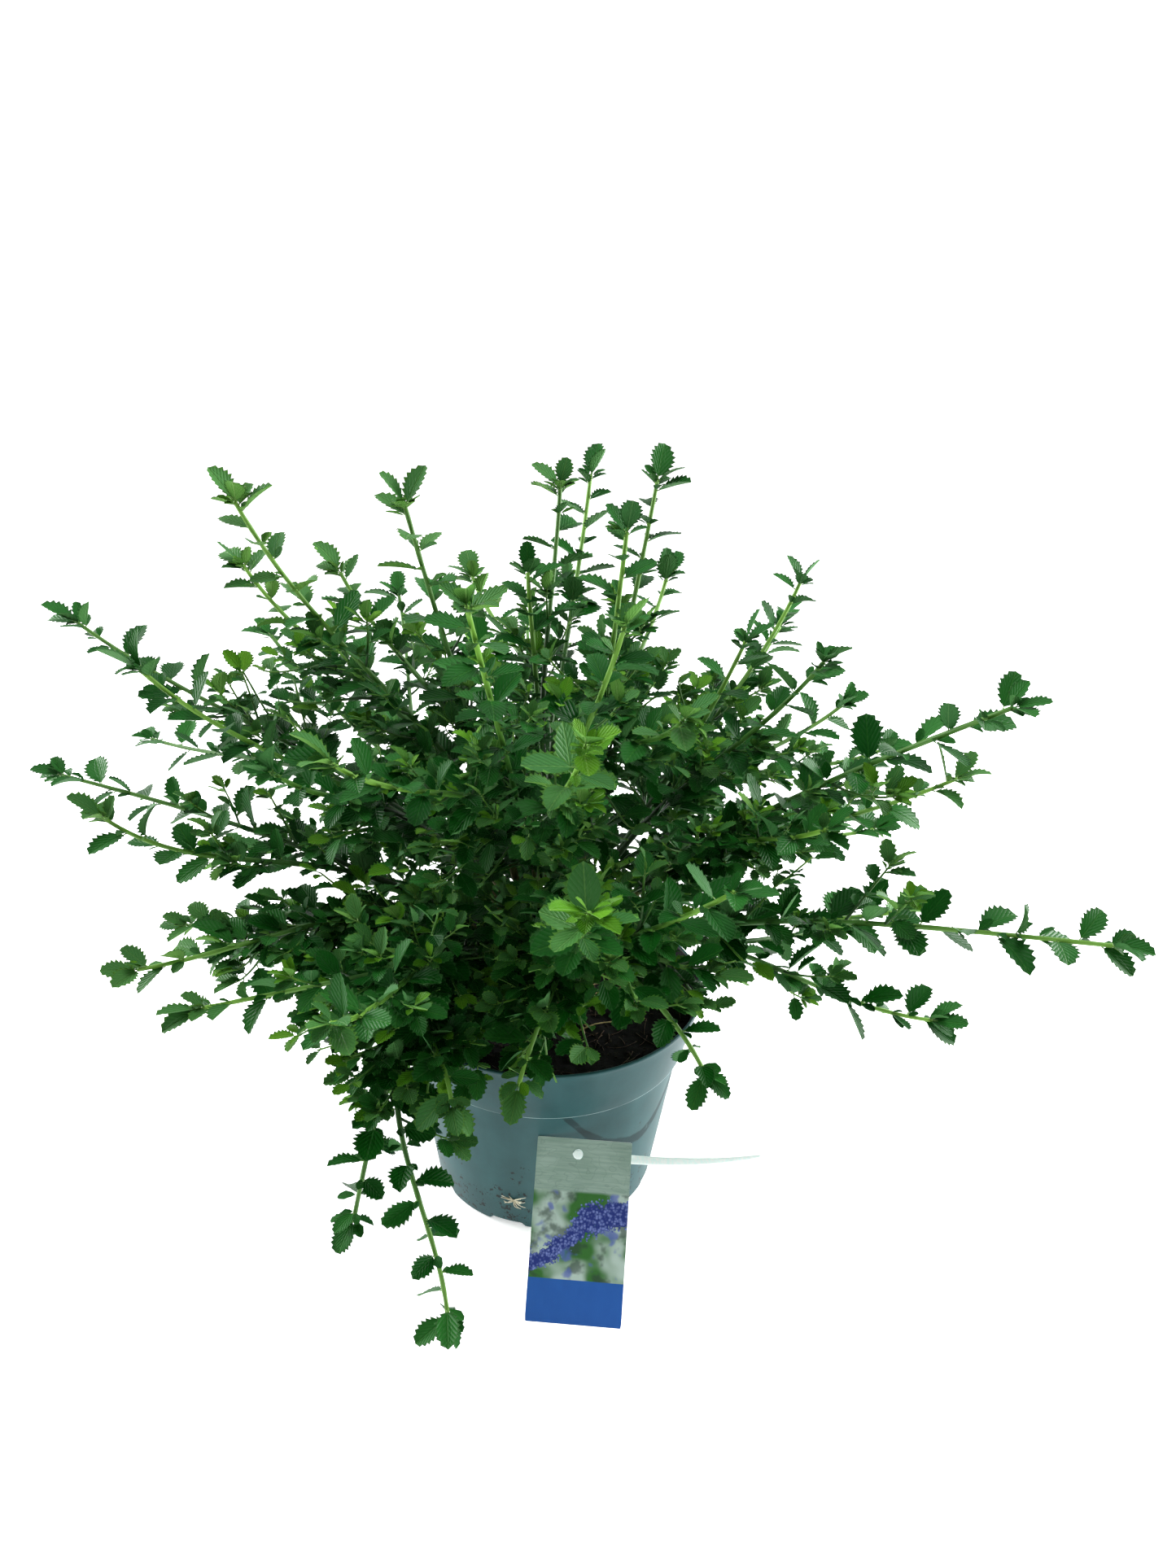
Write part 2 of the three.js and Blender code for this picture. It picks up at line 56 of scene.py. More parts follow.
# forward = (sin yaw cos pitch, cos yaw cos pitch, -sin pitch); roll turns right and up round it
def addCamera():
    yaw, pitch, roll = camera["yaw"], camera["pitch"], camera["roll"]
    forward = Vector((math.sin(yaw) * math.cos(pitch), math.cos(yaw) * math.cos(pitch), -math.sin(pitch)))
    level = Vector((math.cos(yaw), -math.sin(yaw), 0))
    rise = level.cross(forward)
    right = level * math.cos(roll) + rise * math.sin(roll)
    over = rise * math.cos(roll) - level * math.sin(roll)
    data = bpy.data.cameras.new("camera")
    data.sensor_width = camera["sensor"]
    data.lens = camera["focalPixels"] * camera["sensor"] / max(camera["framePixels"])
    data.clip_start, data.clip_end = camera["clip"]
    holder = bpy.data.objects.new("camera", data)
    turned = Matrix((right, over, -forward)).transposed().to_4x4()
    holder.matrix_world = Matrix.Translation(camera["at"]) @ turned
    scene.collection.objects.link(holder)
    scene.camera = holder


addCamera()
print("camera placed")


# a repeatable number from 0 to 1 for three counters:
# fract(43758.5453 sin(12.9898 a + 78.233 b + 37.719 c + 1))
def chance(a, b=0, c=0):
    mixed = np.asarray(a) * 12.9898 + np.asarray(b) * 78.233 + np.asarray(c) * 37.719 + 1
    wave = np.sin(mixed) * 43758.5453
    return wave - np.floor(wave)


# smoothed blend of chance numbers at the eight corners round each point, from 0 to 1
def noise(points, scale, seed=0):
    p = np.asarray(points) / scale
    cell = np.floor(p)
    share = p - cell
    share = share * share * (3 - 2 * share)
    total = 0
    for corner in np.ndindex(2, 2, 2):
        weight = np.prod(np.where(corner, share, 1 - share), axis=-1)
        at = cell + corner
        total = total + weight * chance(at[..., 0] + 31 * seed, at[..., 1], at[..., 2])
    return total


# noise at four scales, each half as wide and half as strong as the one before
def roughNoise(points, scale, seed, octaves=4):
    parts = [noise(points, scale / 2**i, seed + i) / 2**i for i in range(octaves)]
    return sum(parts) / sum(0.5**i for i in range(octaves))


# v / |v|
def unit(v):
    return v / np.maximum(np.linalg.norm(v, axis=-1, keepdims=True), 1e-12)


# sum of a_i b_i, kept as a column
def dot(a, b):
    return np.sum(a * b, axis=-1, keepdims=True)


# a (1 - share) + b share
def mix(a, b, share):
    return a + (b - a) * share


# even angles of a full turn: 2 pi i / count
def around(count):
    return np.arange(count) / count * 2 * np.pi


# the point at a heading in degrees, a reach and a height: (reach cos heading, reach sin heading, height)
def place(heading, reach, height):
    turn = math.radians(heading)
    return np.array([reach * math.cos(turn), reach * math.sin(turn), height])


# a new mesh. faceSets are arrays of corner numbers, one for each count of corners, and uvSets hold the (u, v)
# of each corner
def putMesh(name, points, faceSets, uvSets, materials, slots=None, tint=None, smooth=True):
    mesh = bpy.data.meshes.new(name)
    corners = np.concatenate([faces.reshape(-1) for faces in faceSets])
    sizes = np.concatenate([np.full(len(faces), faces.shape[1]) for faces in faceSets])
    starts = np.concatenate([[0], np.cumsum(sizes)[:-1]])
    mesh.vertices.add(len(points))
    mesh.vertices.foreach_set("co", (np.asarray(points) * metre).astype(np.float32).reshape(-1))
    mesh.loops.add(len(corners))
    mesh.loops.foreach_set("vertex_index", corners.astype(np.int32))
    mesh.polygons.add(len(sizes))
    mesh.polygons.foreach_set("loop_start", starts.astype(np.int32))
    if slots is not None:
        mesh.polygons.foreach_set("material_index", np.asarray(slots, np.int32))
    mesh.update(calc_edges=True)
    mesh.polygons.foreach_set("use_smooth", np.full(len(sizes), smooth))
    if uvSets is not None:
        flat = np.concatenate([np.asarray(uv, np.float32).reshape(-1) for uv in uvSets])
        mesh.uv_layers.new(name="surface").data.foreach_set("uv", flat)
    if tint is not None:
        mesh.attributes.new("tint", "FLOAT", "POINT").data.foreach_set("value", tint.astype(np.float32))
    for material in materials:
        mesh.materials.append(material)
    if mesh.validate():
        print("repaired", name)
    piece = bpy.data.objects.new(name, mesh)
    scene.collection.objects.link(piece)
    return piece


# a mesh that rides on the only body, with the materials given (slot is not used), in place of the CAD nodes
# that it replaces
def addPiece(name, slot, points, faceSets, uvSets, *materials, replaced=(), **more):
    piece = putMesh(name, points, faceSets, uvSets, materials, **more)
    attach(piece, "root")
    if replaced:
        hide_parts(*replaced)


# faces and corner (u, v) of a grid of rows x columns points whose columns close on themselves
def wrapGrid(rows, columns):
    i, j = np.meshgrid(np.arange(rows - 1), np.arange(columns), indexing="ij")
    after = (j + 1) % columns
    low, high = i * columns, (i + 1) * columns
    quads = np.stack([low + j, low + after, high + after, high + j], -1)
    u = np.stack([j, j + 1, j + 1, j], -1) / columns
    v = np.stack([i, i, i + 1, i + 1], -1) / (rows - 1)
    return quads.reshape(-1, 4), np.stack([u, v], -1).reshape(-1, 4, 2)


# triangles from one ring of a wrapped grid to its pole
def fan(ring, pole, columns, v, flip=False):
    j = np.arange(columns)
    tris = np.stack([ring + j, ring + (j + 1) % columns, np.full(columns, pole)], -1)
    uv = np.stack([np.stack([j, j + 1, j + 0.5], -1) / columns, np.full((columns, 3), v)], -1)
    return (tris[:, ::-1], uv[:, ::-1]) if flip else (tris, uv)


# face sets and uv sets of a stack of rings that two poles close, which are the last two points
def closedRings(rows, columns):
    count = rows * columns
    foot = fan(0, count, columns, 0, flip=True)
    top = fan(count - columns, count + 1, columns, 1)
    return [list(part) for part in zip(wrapGrid(rows, columns), foot, top)]


# a profile (radius, height) turned round the z axis: P = (r cos a, r sin a, z), with a pole at both ends
def turnedPiece(radius, height, columns):
    angle = around(columns)
    r, z = radius[1:-1, None], height[1:-1, None]
    rings = np.stack(np.broadcast_arrays(r * np.cos(angle), r * np.sin(angle), z), -1).reshape(-1, 3)
    poles = [[0, 0, height[0]], [0, 0, height[-1]]]
    return np.concatenate([rings, poles]), *closedRings(len(radius) - 2, columns)


# the faces of n copies of a shape that has `each` points: corner number + each x the copy's number
def copyFaces(faceSets, n, each):
    shift = (np.arange(n) * each)[:, None, None]
    return [(faces[None] + shift).reshape(-1, faces.shape[1]) for faces in faceSets]


tubeCap = 0.6  # height of a tube's blunt ends, of its radius there


# rings carried along each midline: P = C + r (cos a N + sin a B), N kept from twisting, both ends closed.
# midlines is n x k x 3 and radii n x k; v of the surface is the share of the length
def tubes(midlines, radii, sides, relief=1.0):
    n, k = radii.shape
    tangent = unit(np.gradient(midlines, axis=1))
    normal = np.zeros_like(midlines)
    carried = np.where(np.abs(tangent[:, 0, 2:]) > 0.9, [1.0, 0, 0], up)
    for i in range(k):
        carried = unit(carried - dot(carried, tangent[:, i]) * tangent[:, i])
        normal[:, i] = carried
    binormal = np.cross(tangent, normal)
    angle = around(sides)
    out = np.cos(angle)[:, None] * normal[:, :, None] + np.sin(angle)[:, None] * binormal[:, :, None]
    rings = midlines[:, :, None] + (radii[:, :, None] * relief)[..., None] * out
    ends = np.stack([midlines[:, 0] - tangent[:, 0] * radii[:, :1] * tubeCap,
                     midlines[:, -1] + tangent[:, -1] * radii[:, -1:] * tubeCap], 1)
    points = np.concatenate([rings.reshape(n, -1, 3), ends], 1)
    faceSets, uvSets = closedRings(k, sides)
    uvSets = [np.repeat(uv[None], n, 0) for uv in uvSets]
    return points.reshape(-1, 3), copyFaces(faceSets, n, k * sides + 2), uvSets


# A socket on which sums are written as Python
class Wire:
    def __init__(self, tree, socket=None):
        self.tree = tree
        self.socket = socket

    # a new node of this kind in the same tree: its settings first, then the values or links of its sockets
    def node(self, kind, settings=None, values=None, output=0):
        made = self.tree.nodes.new(kind)
        for name, value in (settings or {}).items():
            setattr(made, name, value)
        for name, value in (values or {}).items():
            if isinstance(value, Wire):
                self.tree.links.new(value.socket, made.inputs[name])
            else:
                made.inputs[name].default_value = value
        return Wire(self.tree, made.outputs[output] if len(made.outputs) else None)

    def maths(self, operation, first, second=0.0):
        return self.node("ShaderNodeMath", {"operation": operation}, {0: first, 1: second})

    def __add__(self, other):
        return self.maths("ADD", self, other)

    def __mul__(self, other):
        return self.maths("MULTIPLY", self, other)

    __radd__, __rmul__ = __add__, __mul__

    def __sub__(self, other):
        return self.maths("SUBTRACT", self, other)

    def __rsub__(self, other):
        return self.maths("SUBTRACT", other, self)

    def __truediv__(self, other):
        return self.maths("DIVIDE", self, other)

    def __abs__(self):
        return self.maths("ABSOLUTE", self)

    # what is left above the whole number below
    def repeat(self):
        return self.maths("FRACT", self)

    # 0 below low, 1 above high, and a smooth rise between
    def rise(self, low, high):
        limits = {"Value": self, "From Min": low, "From Max": high, "To Min": 0.0, "To Max": 1.0}
        return self.node("ShaderNodeMapRange", {"interpolation_type": "SMOOTHSTEP"}, limits)

    # the colour low where this is 0 and high where it is 1 (a Mix node's colour sockets are 6 and 7, out 2)
    def blend(self, low, high):
        return self.node("ShaderNodeMix", {"data_type": "RGBA"}, {0: self, 6: low, 7: high}, 2)

    # cloudy noise from 0 to 1 on this vector
    def speckle(self, scale, detail=4.0, rough=0.55, stretch=(1, 1, 1)):
        spread = self.node("ShaderNodeMapping", None, {"Vector": self, "Scale": stretch})
        looks = {"Vector": spread, "Scale": scale, "Detail": detail, "Roughness": rough}
        return self.node("ShaderNodeTexNoise", None, looks)

    # the three numbers of this vector
    def split(self):
        parts = self.node("ShaderNodeSeparateXYZ", None, {0: self}).socket.node.outputs
        return [Wire(self.tree, part) for part in parts]

    # what a recipe starts from: object coordinates, the piece's own UV and its own tint
    def objectPlace(self):
        return self.node("ShaderNodeTexCoord", output="Object")

    def ownUv(self):
        return self.node("ShaderNodeUVMap", {"uv_map": "surface"})

    def ownTint(self):
        return self.node("ShaderNodeAttribute", {"attribute_name": "tint"}, output="Fac")


# straight colour values from the 0-255 numbers of a colour picker
def paint(red, green, blue):
    parts = [c / 255 for c in (red, green, blue)]
    return tuple(c / 12.92 if c <= 0.04045 else ((c + 0.055) / 1.055) ** 2.4 for c in parts) + (1.0,)


# a material from a recipe, which lays its nodes and gives the looks of one Principled shader and the height,
# depth in metres and strength of the Bump on its Normal
def newMaterial(name, recipe, *colours):
    material = bpy.data.materials.new(name)
    material.use_nodes = True
    material.node_tree.nodes.clear()
    wire = Wire(material.node_tree)
    looks, height, depth, strength = recipe(wire, *colours)
    if height is not None:
        relief = {"Height": height, "Distance": depth, "Strength": strength}
        looks["Normal"] = wire.node("ShaderNodeBump", None, relief)
    shader = wire.node("ShaderNodeBsdfPrincipled", None, looks)
    wire.node("ShaderNodeOutputMaterial", None, {"Surface": shader})
    return material


pot = {  # in millimetres, and headings in degrees
    "rimRadius": 95, "height": 135, "footRadius": 68.7, "thickness": 2, "floor": 4.2, "footRound": 1.8,
    "bandHeight": 98.2,  # where the collar steps out from the wall
    "wallTopRadius": 83.2, "collarRadius": 85.9, "step": 0.6,
    "notches": 8, "notchWidth": 25, "notchHeight": 4, "notchDepth": 9,
    "firstNotch": 251.5,
    "notchSlope": 3.5,  # width of a notch's sloping side
    "columns": 400,
}
marksAndHighlight = {  # marks and a painted ledge highlight on the outside, in metres
    "specksTop": 0.04, "ledge": 0.0987, "ledgeHighlightHalf": 0.0005,
    "smearAt": (0.058, 0.060),  # lowest point of the damp smear, across and up
    "smearHalf": (0.0022, 0.004),  # its half thickness: the least, and how much more at most
    "smearLeft": 0.006, "smearTop": 0.098,
    "sag": (17.6, 57),  # steepness of its left arm, and how much more its right one has
}


# the wall's outer radius: two straight tapers that meet at the band
def potRadius(z):
    low = mix(pot["footRadius"], pot["wallTopRadius"], z / pot["bandHeight"])
    share = (z - pot["bandHeight"]) / (pot["height"] - pot["bandHeight"])
    return np.where(z < pot["bandHeight"], low, mix(pot["collarRadius"], pot["rimRadius"], share))


# (r, z) of the wall at heights z, drawn in by inset
def onWall(z, inset=0):
    return np.stack([potRadius(z) - inset, z], 1)


# (r, z) from the middle of the underside, up the outside, over the rim and down to the inner floor, and the
# number of rows that are outside
def potProfile():
    wall, band, height, floor = pot["thickness"], pot["bandHeight"], pot["height"], pot["floor"]
    top, out, rim = pot["wallTopRadius"], pot["collarRadius"], pot["rimRadius"]
    notchEdge = pot["footRadius"] - pot["notchDepth"]
    under = np.array([[0, 0], [15, 0], [30, 0], [45, 0], [notchEdge - 0.1, 0], [notchEdge + 0.1, 0]])
    turn = np.radians(np.linspace(90, 0, 10))
    corner = onWall(pot["footRound"] * (1 - np.sin(turn)), pot["footRound"] * (1 - np.cos(turn)))
    side = onWall(np.concatenate([[2.6, 3.3, 4.0, 4.7, 6.0], np.linspace(10, band - 1, 14)]))
    ledge = np.array([[top + 0.05, band - 0.3], [top + 0.3, band], [top + 1.1, band + 0.15],
                      [out - 0.5, band + 0.25], [out - 0.05, band + 0.6], [out + 0.15, band + 1.4]])
    collar = onWall(np.linspace(band + 4, height - 3.5, 9))
    lipOut = np.array([[rim - 0.35, height - 2], [rim, height - 1.2], [rim, height - 0.6],
                       [rim - 0.25, height - 0.15], [rim - 0.7, height], [rim - wall + 0.5, height]])
    lipIn = np.array([[rim - wall + 0.1, height - 0.25], [rim - wall - 0.1, height - 1]])
    inner = onWall(np.array([height - 4, height - 12, height - 24, band + pot["step"]]), wall)
    floorEdge = float(potRadius(floor)) - wall
    deep = np.array([[top - wall, band - wall], [floorEdge, floor], [30, floor], [0, floor]])
    outside = [under, corner, side, ledge, collar, lipOut]
    return np.concatenate([*outside, lipIn, inner, deep]), sum(map(len, outside))


# lifts the foot's edge inside each drain notch: z = max(z, height x share of the slope beside the notch)
def cutNotches(points):
    heading = np.degrees(np.arctan2(points[:, 1], points[:, 0]))
    each = 360 / pot["notches"]
    off = np.abs((heading - pot["firstNotch"] + each / 2) % each - each / 2)
    radius = np.hypot(points[:, 0], points[:, 1])
    inside = pot["notchWidth"] / 2 - np.radians(off) * pot["footRadius"]
    share = np.clip(inside / pot["notchSlope"], 0, 1)
    lift = np.where(radius > pot["footRadius"] - pot["notchDepth"], pot["notchHeight"] * share, 0)
    foot = points[:, 2] < pot["notchHeight"] + 0.01
    points[:, 2] = np.where(foot, np.maximum(points[:, 2], lift), points[:, 2])
    return points


# matte moulded plastic with cloudy streaks; outside: specks by the foot, a damp smear, a painted ledge
# highlight
def potPlastic(wire, deep, pale, withMarksAndHighlight):
    at = wire.objectPlace()
    x, y, z = at.split()
    clouds = at.speckle(22, 5, 0.6)
    streaks = at.speckle(40, 3, 0.5, (1, 1, 0.12))
    colour = (clouds * 0.6 + streaks * 0.4).rise(0.35, 0.65).blend(deep, pale)
    rough = 0.32 + clouds * 0.14
    if withMarksAndHighlight:
        low = 1 - (z + (at.speckle(50, 3) - 0.5) * 0.2).rise(0.006, marksAndHighlight["specksTop"])
        specks = at.speckle(260, 3, 0.7).rise(0.575, 0.59)
        colour = (low.rise(0.3, 0.6) * specks * 0.92).blend(colour, paint(10, 14, 12))
        # the smear, under the band at the right front: two arms that sag to a low point, broken up
        (across, height), (left, right), (least, more) = marksAndHighlight["smearAt"], marksAndHighlight["sag"], marksAndHighlight["smearHalf"]
        aside = x - across
        sag = aside * aside * (left + aside.rise(-0.001, 0.001) * right)
        band = abs(z - height - sag + (at.speckle(60, 3) - 0.5) * 0.006)
        front = (1 - y.rise(-0.03, -0.02)) * x.rise(marksAndHighlight["smearLeft"], marksAndHighlight["smearLeft"] + 0.006)
        front = front * (1 - z.rise(marksAndHighlight["smearTop"] - 0.004, marksAndHighlight["smearTop"]))
        thick = least + at.speckle(70, 2) * more
        damp = (1 - (band / thick).rise(0.6, 1.1)) * front * at.speckle(110, 3).rise(0.27, 0.42)
        colour = (damp * 0.72).blend(colour, paint(10, 32, 36))
        # painted highlight: a pale line along the ledge's edge, where it catches the light, broken up by the
        # streaks
        ledge = 1 - (abs(z - marksAndHighlight["ledge"]) / marksAndHighlight["ledgeHighlightHalf"]).rise(0.5, 1.0)
        colour = (ledge * streaks.rise(0.35, 0.6) * 0.7).blend(colour, paint(176, 206, 206))
        rough = rough + damp * 0.1
    looks = {"Base Color": colour, "Roughness": rough, "Specular IOR Level": 0.2}
    return looks, at.speckle(900, 2, 0.5) * 0.5 + clouds * 0.5, 0.00012, 0.35


# the turned profile, of the outside plastic as far as the lip and of black plastic inside
def makePot():
    profile, rimRow = potProfile()
    points, faces, uvs = turnedPiece(profile[:, 0], profile[:, 1], pot["columns"])
    sideSlots = np.arange(len(faces[0])) // pot["columns"] >= rimRow - 1
    slots = np.concatenate([sideSlots, np.zeros(pot["columns"]), np.ones(pot["columns"])])
    outside = newMaterial("pot_blue_grey", potPlastic, paint(31, 69, 72), paint(45, 85, 88), True)
    inside = newMaterial("pot_black", potPlastic, paint(20, 22, 22), paint(30, 33, 33), False)
    addPiece("nursery_pot", "pot_plastic", cutNotches(points), faces, uvs, outside, inside, replaced=["pot"],
             slots=slots)


makePot()
print("pot made")

rootTuft = {
    "heading": -104, "height": 23.7, "count": 16, "length": (4, 9), "radius": 0.36,
    "stand": 1.6,  # how far they lift off the wall
}


# roots that poke out of a drain hole and fan over the wall: P = the wall at middle + reach, lifted off midway
def makeRootTuft(material):
    k = np.arange(rootTuft["count"])
    turn = k * goldenTurn + chance(k, 9, 1)
    reach = mix(*rootTuft["length"], chance(k, 9, 2))
    s = np.linspace(0, 1, 7)
    along = reach[:, None] * s
    bend = turn[:, None] + (chance(k, 9, 3)[:, None] - 0.5) * 1.6 * s
    z = rootTuft["height"] + np.sin(bend) * along
    off = rootTuft["radius"] + rootTuft["stand"] * np.sin(np.pi * s * 0.8) * chance(k, 9, 4)[:, None]
    radius = potRadius(z) + off - 0.2
    heading = np.radians(rootTuft["heading"]) + np.cos(bend) * along / radius
    lines = np.stack([radius * np.cos(heading), radius * np.sin(heading), z], -1)
    radii = rootTuft["radius"] * np.broadcast_to(1 - 0.5 * s, lines.shape[:2])
    addPiece("root_tuft", "potting_soil", *tubes(lines, radii, 6), material)


soil = {
    "top": 122, "bottom": 100, "rings": 90, "columns": 260,
    "flatShare": 0.62, "edgeDrop": 4,  # share of its radius that is level, and how far it drops beyond
    "bumps": 3.2,  # height of its lumps
    "crumbs": 1500, "crumbSize": (0.8, 3.4), "crumbSquash": 0.7,
    "strewnReach": 88,  # fibres and stalks that would reach further out are left out
}
strewn = {  # thin pieces that lie on the soil: fibres of the peat and dry stalks
    "soil_fibres": {
        "count": 170, "length": (6, 22), "radius": 0.22, "seed": 2, "lift": 0.25, "edgeShare": 0.93,
        "material": "peat_fibre", "colours": (paint(46, 34, 22), paint(88, 66, 42)),
    },
    "dry_stalks": {
        "count": 9, "length": (30, 70), "radius": 0.55, "seed": 5, "lift": 0.3, "edgeShare": 0.6,
        "material": "dry_straw", "colours": (paint(120, 104, 62), paint(186, 170, 118)),
    },
}


# height of the soil: level in the middle, sloping to the edge, with lumps
def soilHeight(x, y):
    edge = float(potRadius(soil["top"])) - pot["thickness"]
    slope = np.clip((np.hypot(x, y) / edge - soil["flatShare"]) / (1 - soil["flatShare"]), 0, 1)
    at = np.stack([x, y, np.zeros_like(x)], -1)
    lumps = roughNoise(at, 14, 3) - 0.5
    return soil["top"] - soil["edgeDrop"] * slope + lumps * soil["bumps"] * 2 - 0.6


# damp crumbly earth with a few paler flecks; on the soil bed its near-black colours are partly painted shade
def soilLooks(wire, dark, pale, scale):
    at = wire.objectPlace()
    crumb = at.speckle(scale, 6, 0.7)
    fleck = at.speckle(scale * 3, 3, 0.6).rise(0.62, 0.74)
    colour = (fleck * 0.4).blend(crumb.rise(0.35, 0.7).blend(dark, pale), paint(70, 60, 42))
    looks = {"Base Color": colour, "Roughness": 0.85 + crumb * 0.15, "Specular IOR Level": 0.12}
    return looks, crumb, 0.0012, 0.9


# streaky dry fibre
def strawLooks(wire, deep, pale):
    streak = wire.objectPlace().speckle(300, 3, 0.6)
    looks = {"Base Color": streak.rise(0.3, 0.7).blend(deep, pale), "Roughness": 0.6 + streak * 0.25}
    return looks, streak, 0.0002, 0.5


# rings of a disc r = edge * share, z = soilHeight, then a wall down to a flat bottom
def makeSoil(material):
    angle = around(soil["columns"])
    edge = float(potRadius(soil["top"] - soil["edgeDrop"])) - pot["thickness"] - 0.4
    reach = np.linspace(0, 1, soil["rings"] + 1)[1:] * edge
    x, y = reach[:, None] * np.cos(angle), reach[:, None] * np.sin(angle)
    top = np.stack([x, y, soilHeight(x, y)], -1)
    low = top[-1:].copy()
    low[..., 2] = soil["bottom"]
    low[..., :2] *= (edge - 6) / edge
    grid = np.concatenate([low, top[::-1]])
    poles = [[0, 0, soil["bottom"]], [0, 0, float(soilHeight(np.zeros(1), np.zeros(1))[0])]]
    points = np.concatenate([grid.reshape(-1, 3), poles])
    addPiece("soil_bed", "potting_soil", points, *closedRings(*grid.shape[:2]), material, replaced=["soil"])


# points spread evenly over the soil: r = edge sqrt(chance)
def overSoil(count, seed, edgeShare=0.97):
    k = np.arange(count)
    edge = (float(potRadius(soil["top"] - soil["edgeDrop"])) - pot["thickness"]) * edgeShare
    radius = edge * np.sqrt(chance(k, seed, 11))
    angle = 2 * np.pi * chance(k, seed, 12)
    x, y = radius * np.cos(angle), radius * np.sin(angle)
    return np.stack([x, y, soilHeight(x, y)], -1)


# unit ball of 20 faces: the triples of its 12 corners that are all neighbours, turned to face out
def roundLump():
    gold = (1 + 5**0.5) / 2
    pairs = [(0, 1, gold), (0, -1, gold), (0, 1, -gold), (0, -1, -gold)]
    corners = np.array([np.roll(pair, shift) for shift in range(3) for pair in pairs]) / math.hypot(1, gold)
    neighbour = 1.2  # more than the way to the next corner, less than that to any other
    faces = []
    for i, j, k in combinations(range(12), 3):
        a, b, c = corners[[i, j, k]]
        if max(np.linalg.norm(side) for side in (a - b, b - c, a - c)) < neighbour:
            faces.append((i, j, k) if np.cross(b - a, c - a) @ a > 0 else (i, k, j))
    return corners, np.array(faces)


# crumbs on the soil: each corner is at + size * corner * (0.6 to 1.2), stretched by chance and squashed
def makeCrumbs(material):
    corners, faces = roundLump()
    k = np.arange(soil["crumbs"])
    size = mix(*soil["crumbSize"], chance(k, 2, 2) ** 2.5) / 2
    wild = 0.6 + 0.6 * chance(k[:, None], np.arange(12)[None], 5)
    stretch = 0.6 + 0.8 * chance(k[:, None], np.arange(3)[None], 6)
    shape = corners[None] * wild[..., None] * stretch[:, None] * [1, 1, soil["crumbSquash"]]
    points = overSoil(soil["crumbs"], 1)[:, None] + shape * size[:, None, None]
    copies = copyFaces([faces], len(k), len(corners))
    addPiece("soil_crumbs", "potting_soil", points.reshape(-1, 3), copies, None, material, smooth=False)


# thin bent stalks lying on the soil: midline at + heading * s + a bow sideways and upwards
def layStalks(name, rule):
    k, seed, radius = np.arange(rule["count"]), rule["seed"], rule["radius"]
    middle = overSoil(rule["count"], seed, rule["edgeShare"])
    turn = chance(k, seed, 13) * 2 * np.pi
    ahead = np.stack([np.cos(turn), np.sin(turn), 0 * turn], -1)
    aside = np.stack([-np.sin(turn), np.cos(turn), 0 * turn], -1)
    length = mix(*rule["length"], chance(k, seed, 14))
    s = np.linspace(-0.5, 0.5, 9)
    run = s * length[:, None]
    bow = (0.25 - s**2)[None] * length[:, None] * (chance(k, seed, 15)[:, None] - 0.5)
    lines = middle[:, None] + ahead[:, None] * run[..., None] + aside[:, None] * bow[..., None]
    slant = (chance(k, seed, 16)[:, None] - 0.5) * s * length[:, None] * rule["lift"]
    lines[..., 2] = np.maximum(lines[..., 2] + slant, soilHeight(lines[..., 0], lines[..., 1])) + radius
    lines = lines[np.hypot(lines[..., 0], lines[..., 1]).max(1) < soil["strewnReach"]]
    radii = np.full(lines.shape[:2], radius) * mix(1, 0.6, (s + 0.5))
    material = newMaterial(rule["material"], strawLooks, *rule["colours"])
    addPiece(name, "potting_soil", *tubes(lines, radii, 5), material)


makeRootTuft(newMaterial("root_pale", strawLooks, paint(150, 138, 106), paint(242, 238, 216)))
# the soil bed's near-black colours: dark damp earth, darkened further as painted shade under the crown
makeSoil(newMaterial("potting_soil", soilLooks, paint(3, 5, 4), paint(15, 16, 13), 260))
makeCrumbs(newMaterial("soil_crumb", soilLooks, paint(11, 12, 9), paint(42, 37, 28), 400))
for name, rule in strewn.items():
    layStalks(name, rule)
print("soil made")

label = {
    "width": 54, "length": 100, "thickness": 0.7, "corner": 0.9,
    "foot": (17.5, -140.5), "heading": -5.6, "lift": 0.3,
    "lean": 35,  # degrees back from upright
    "holeRadius": 3, "holeDown": 8.5, "holeAcross": -3.5,
    "rings": 26, "rays": 240,
    "cornerSteps": (-0.03, -0.02, -0.01, 0.0, 0.01, 0.02, 0.03),  # closer rays round each corner
    "blueTop": 0.235,  # share of the length where the plain band ends
    "pictureTop": 0.71,
}
labelHole = np.array([label["holeAcross"], label["length"] - label["holeDown"]])
strap = {
    "reach": 104, "rootWidth": 5.4, "tipWidth": 1.6, "thickness": 0.9,
    "sag": 3.15, "tipRise": 6.75,  # below the hole on the way, and above it at the end
    "steps": 60, "sides": 16, "pinSides": 40,
    "pinRadii": (0, 0.6, 1, 1, 1, 0.93, 0.7, 0.35, 0),  # profile of the pin, in shares of its radius
    "pinHeights": (-2.0, -2.0, -1.8, -1.0, 0.8, 1.05, 1.18, 1.24, 1.25),
}


# label axes to the pot's: x across, y up the face, z out of its front
def fromLabel(points):
    turn, tip = math.radians(label["heading"]), math.pi / 2 - math.radians(label["lean"])
    x, y, z = np.moveaxis(points, -1, 0)
    y, z = y * math.cos(tip) - z * math.sin(tip), y * math.sin(tip) + z * math.cos(tip)
    x, y = x * math.cos(turn) - y * math.sin(turn), x * math.sin(turn) + y * math.cos(turn)
    return np.stack([x + label["foot"][0], y + label["foot"][1], z + label["lift"]], -1)


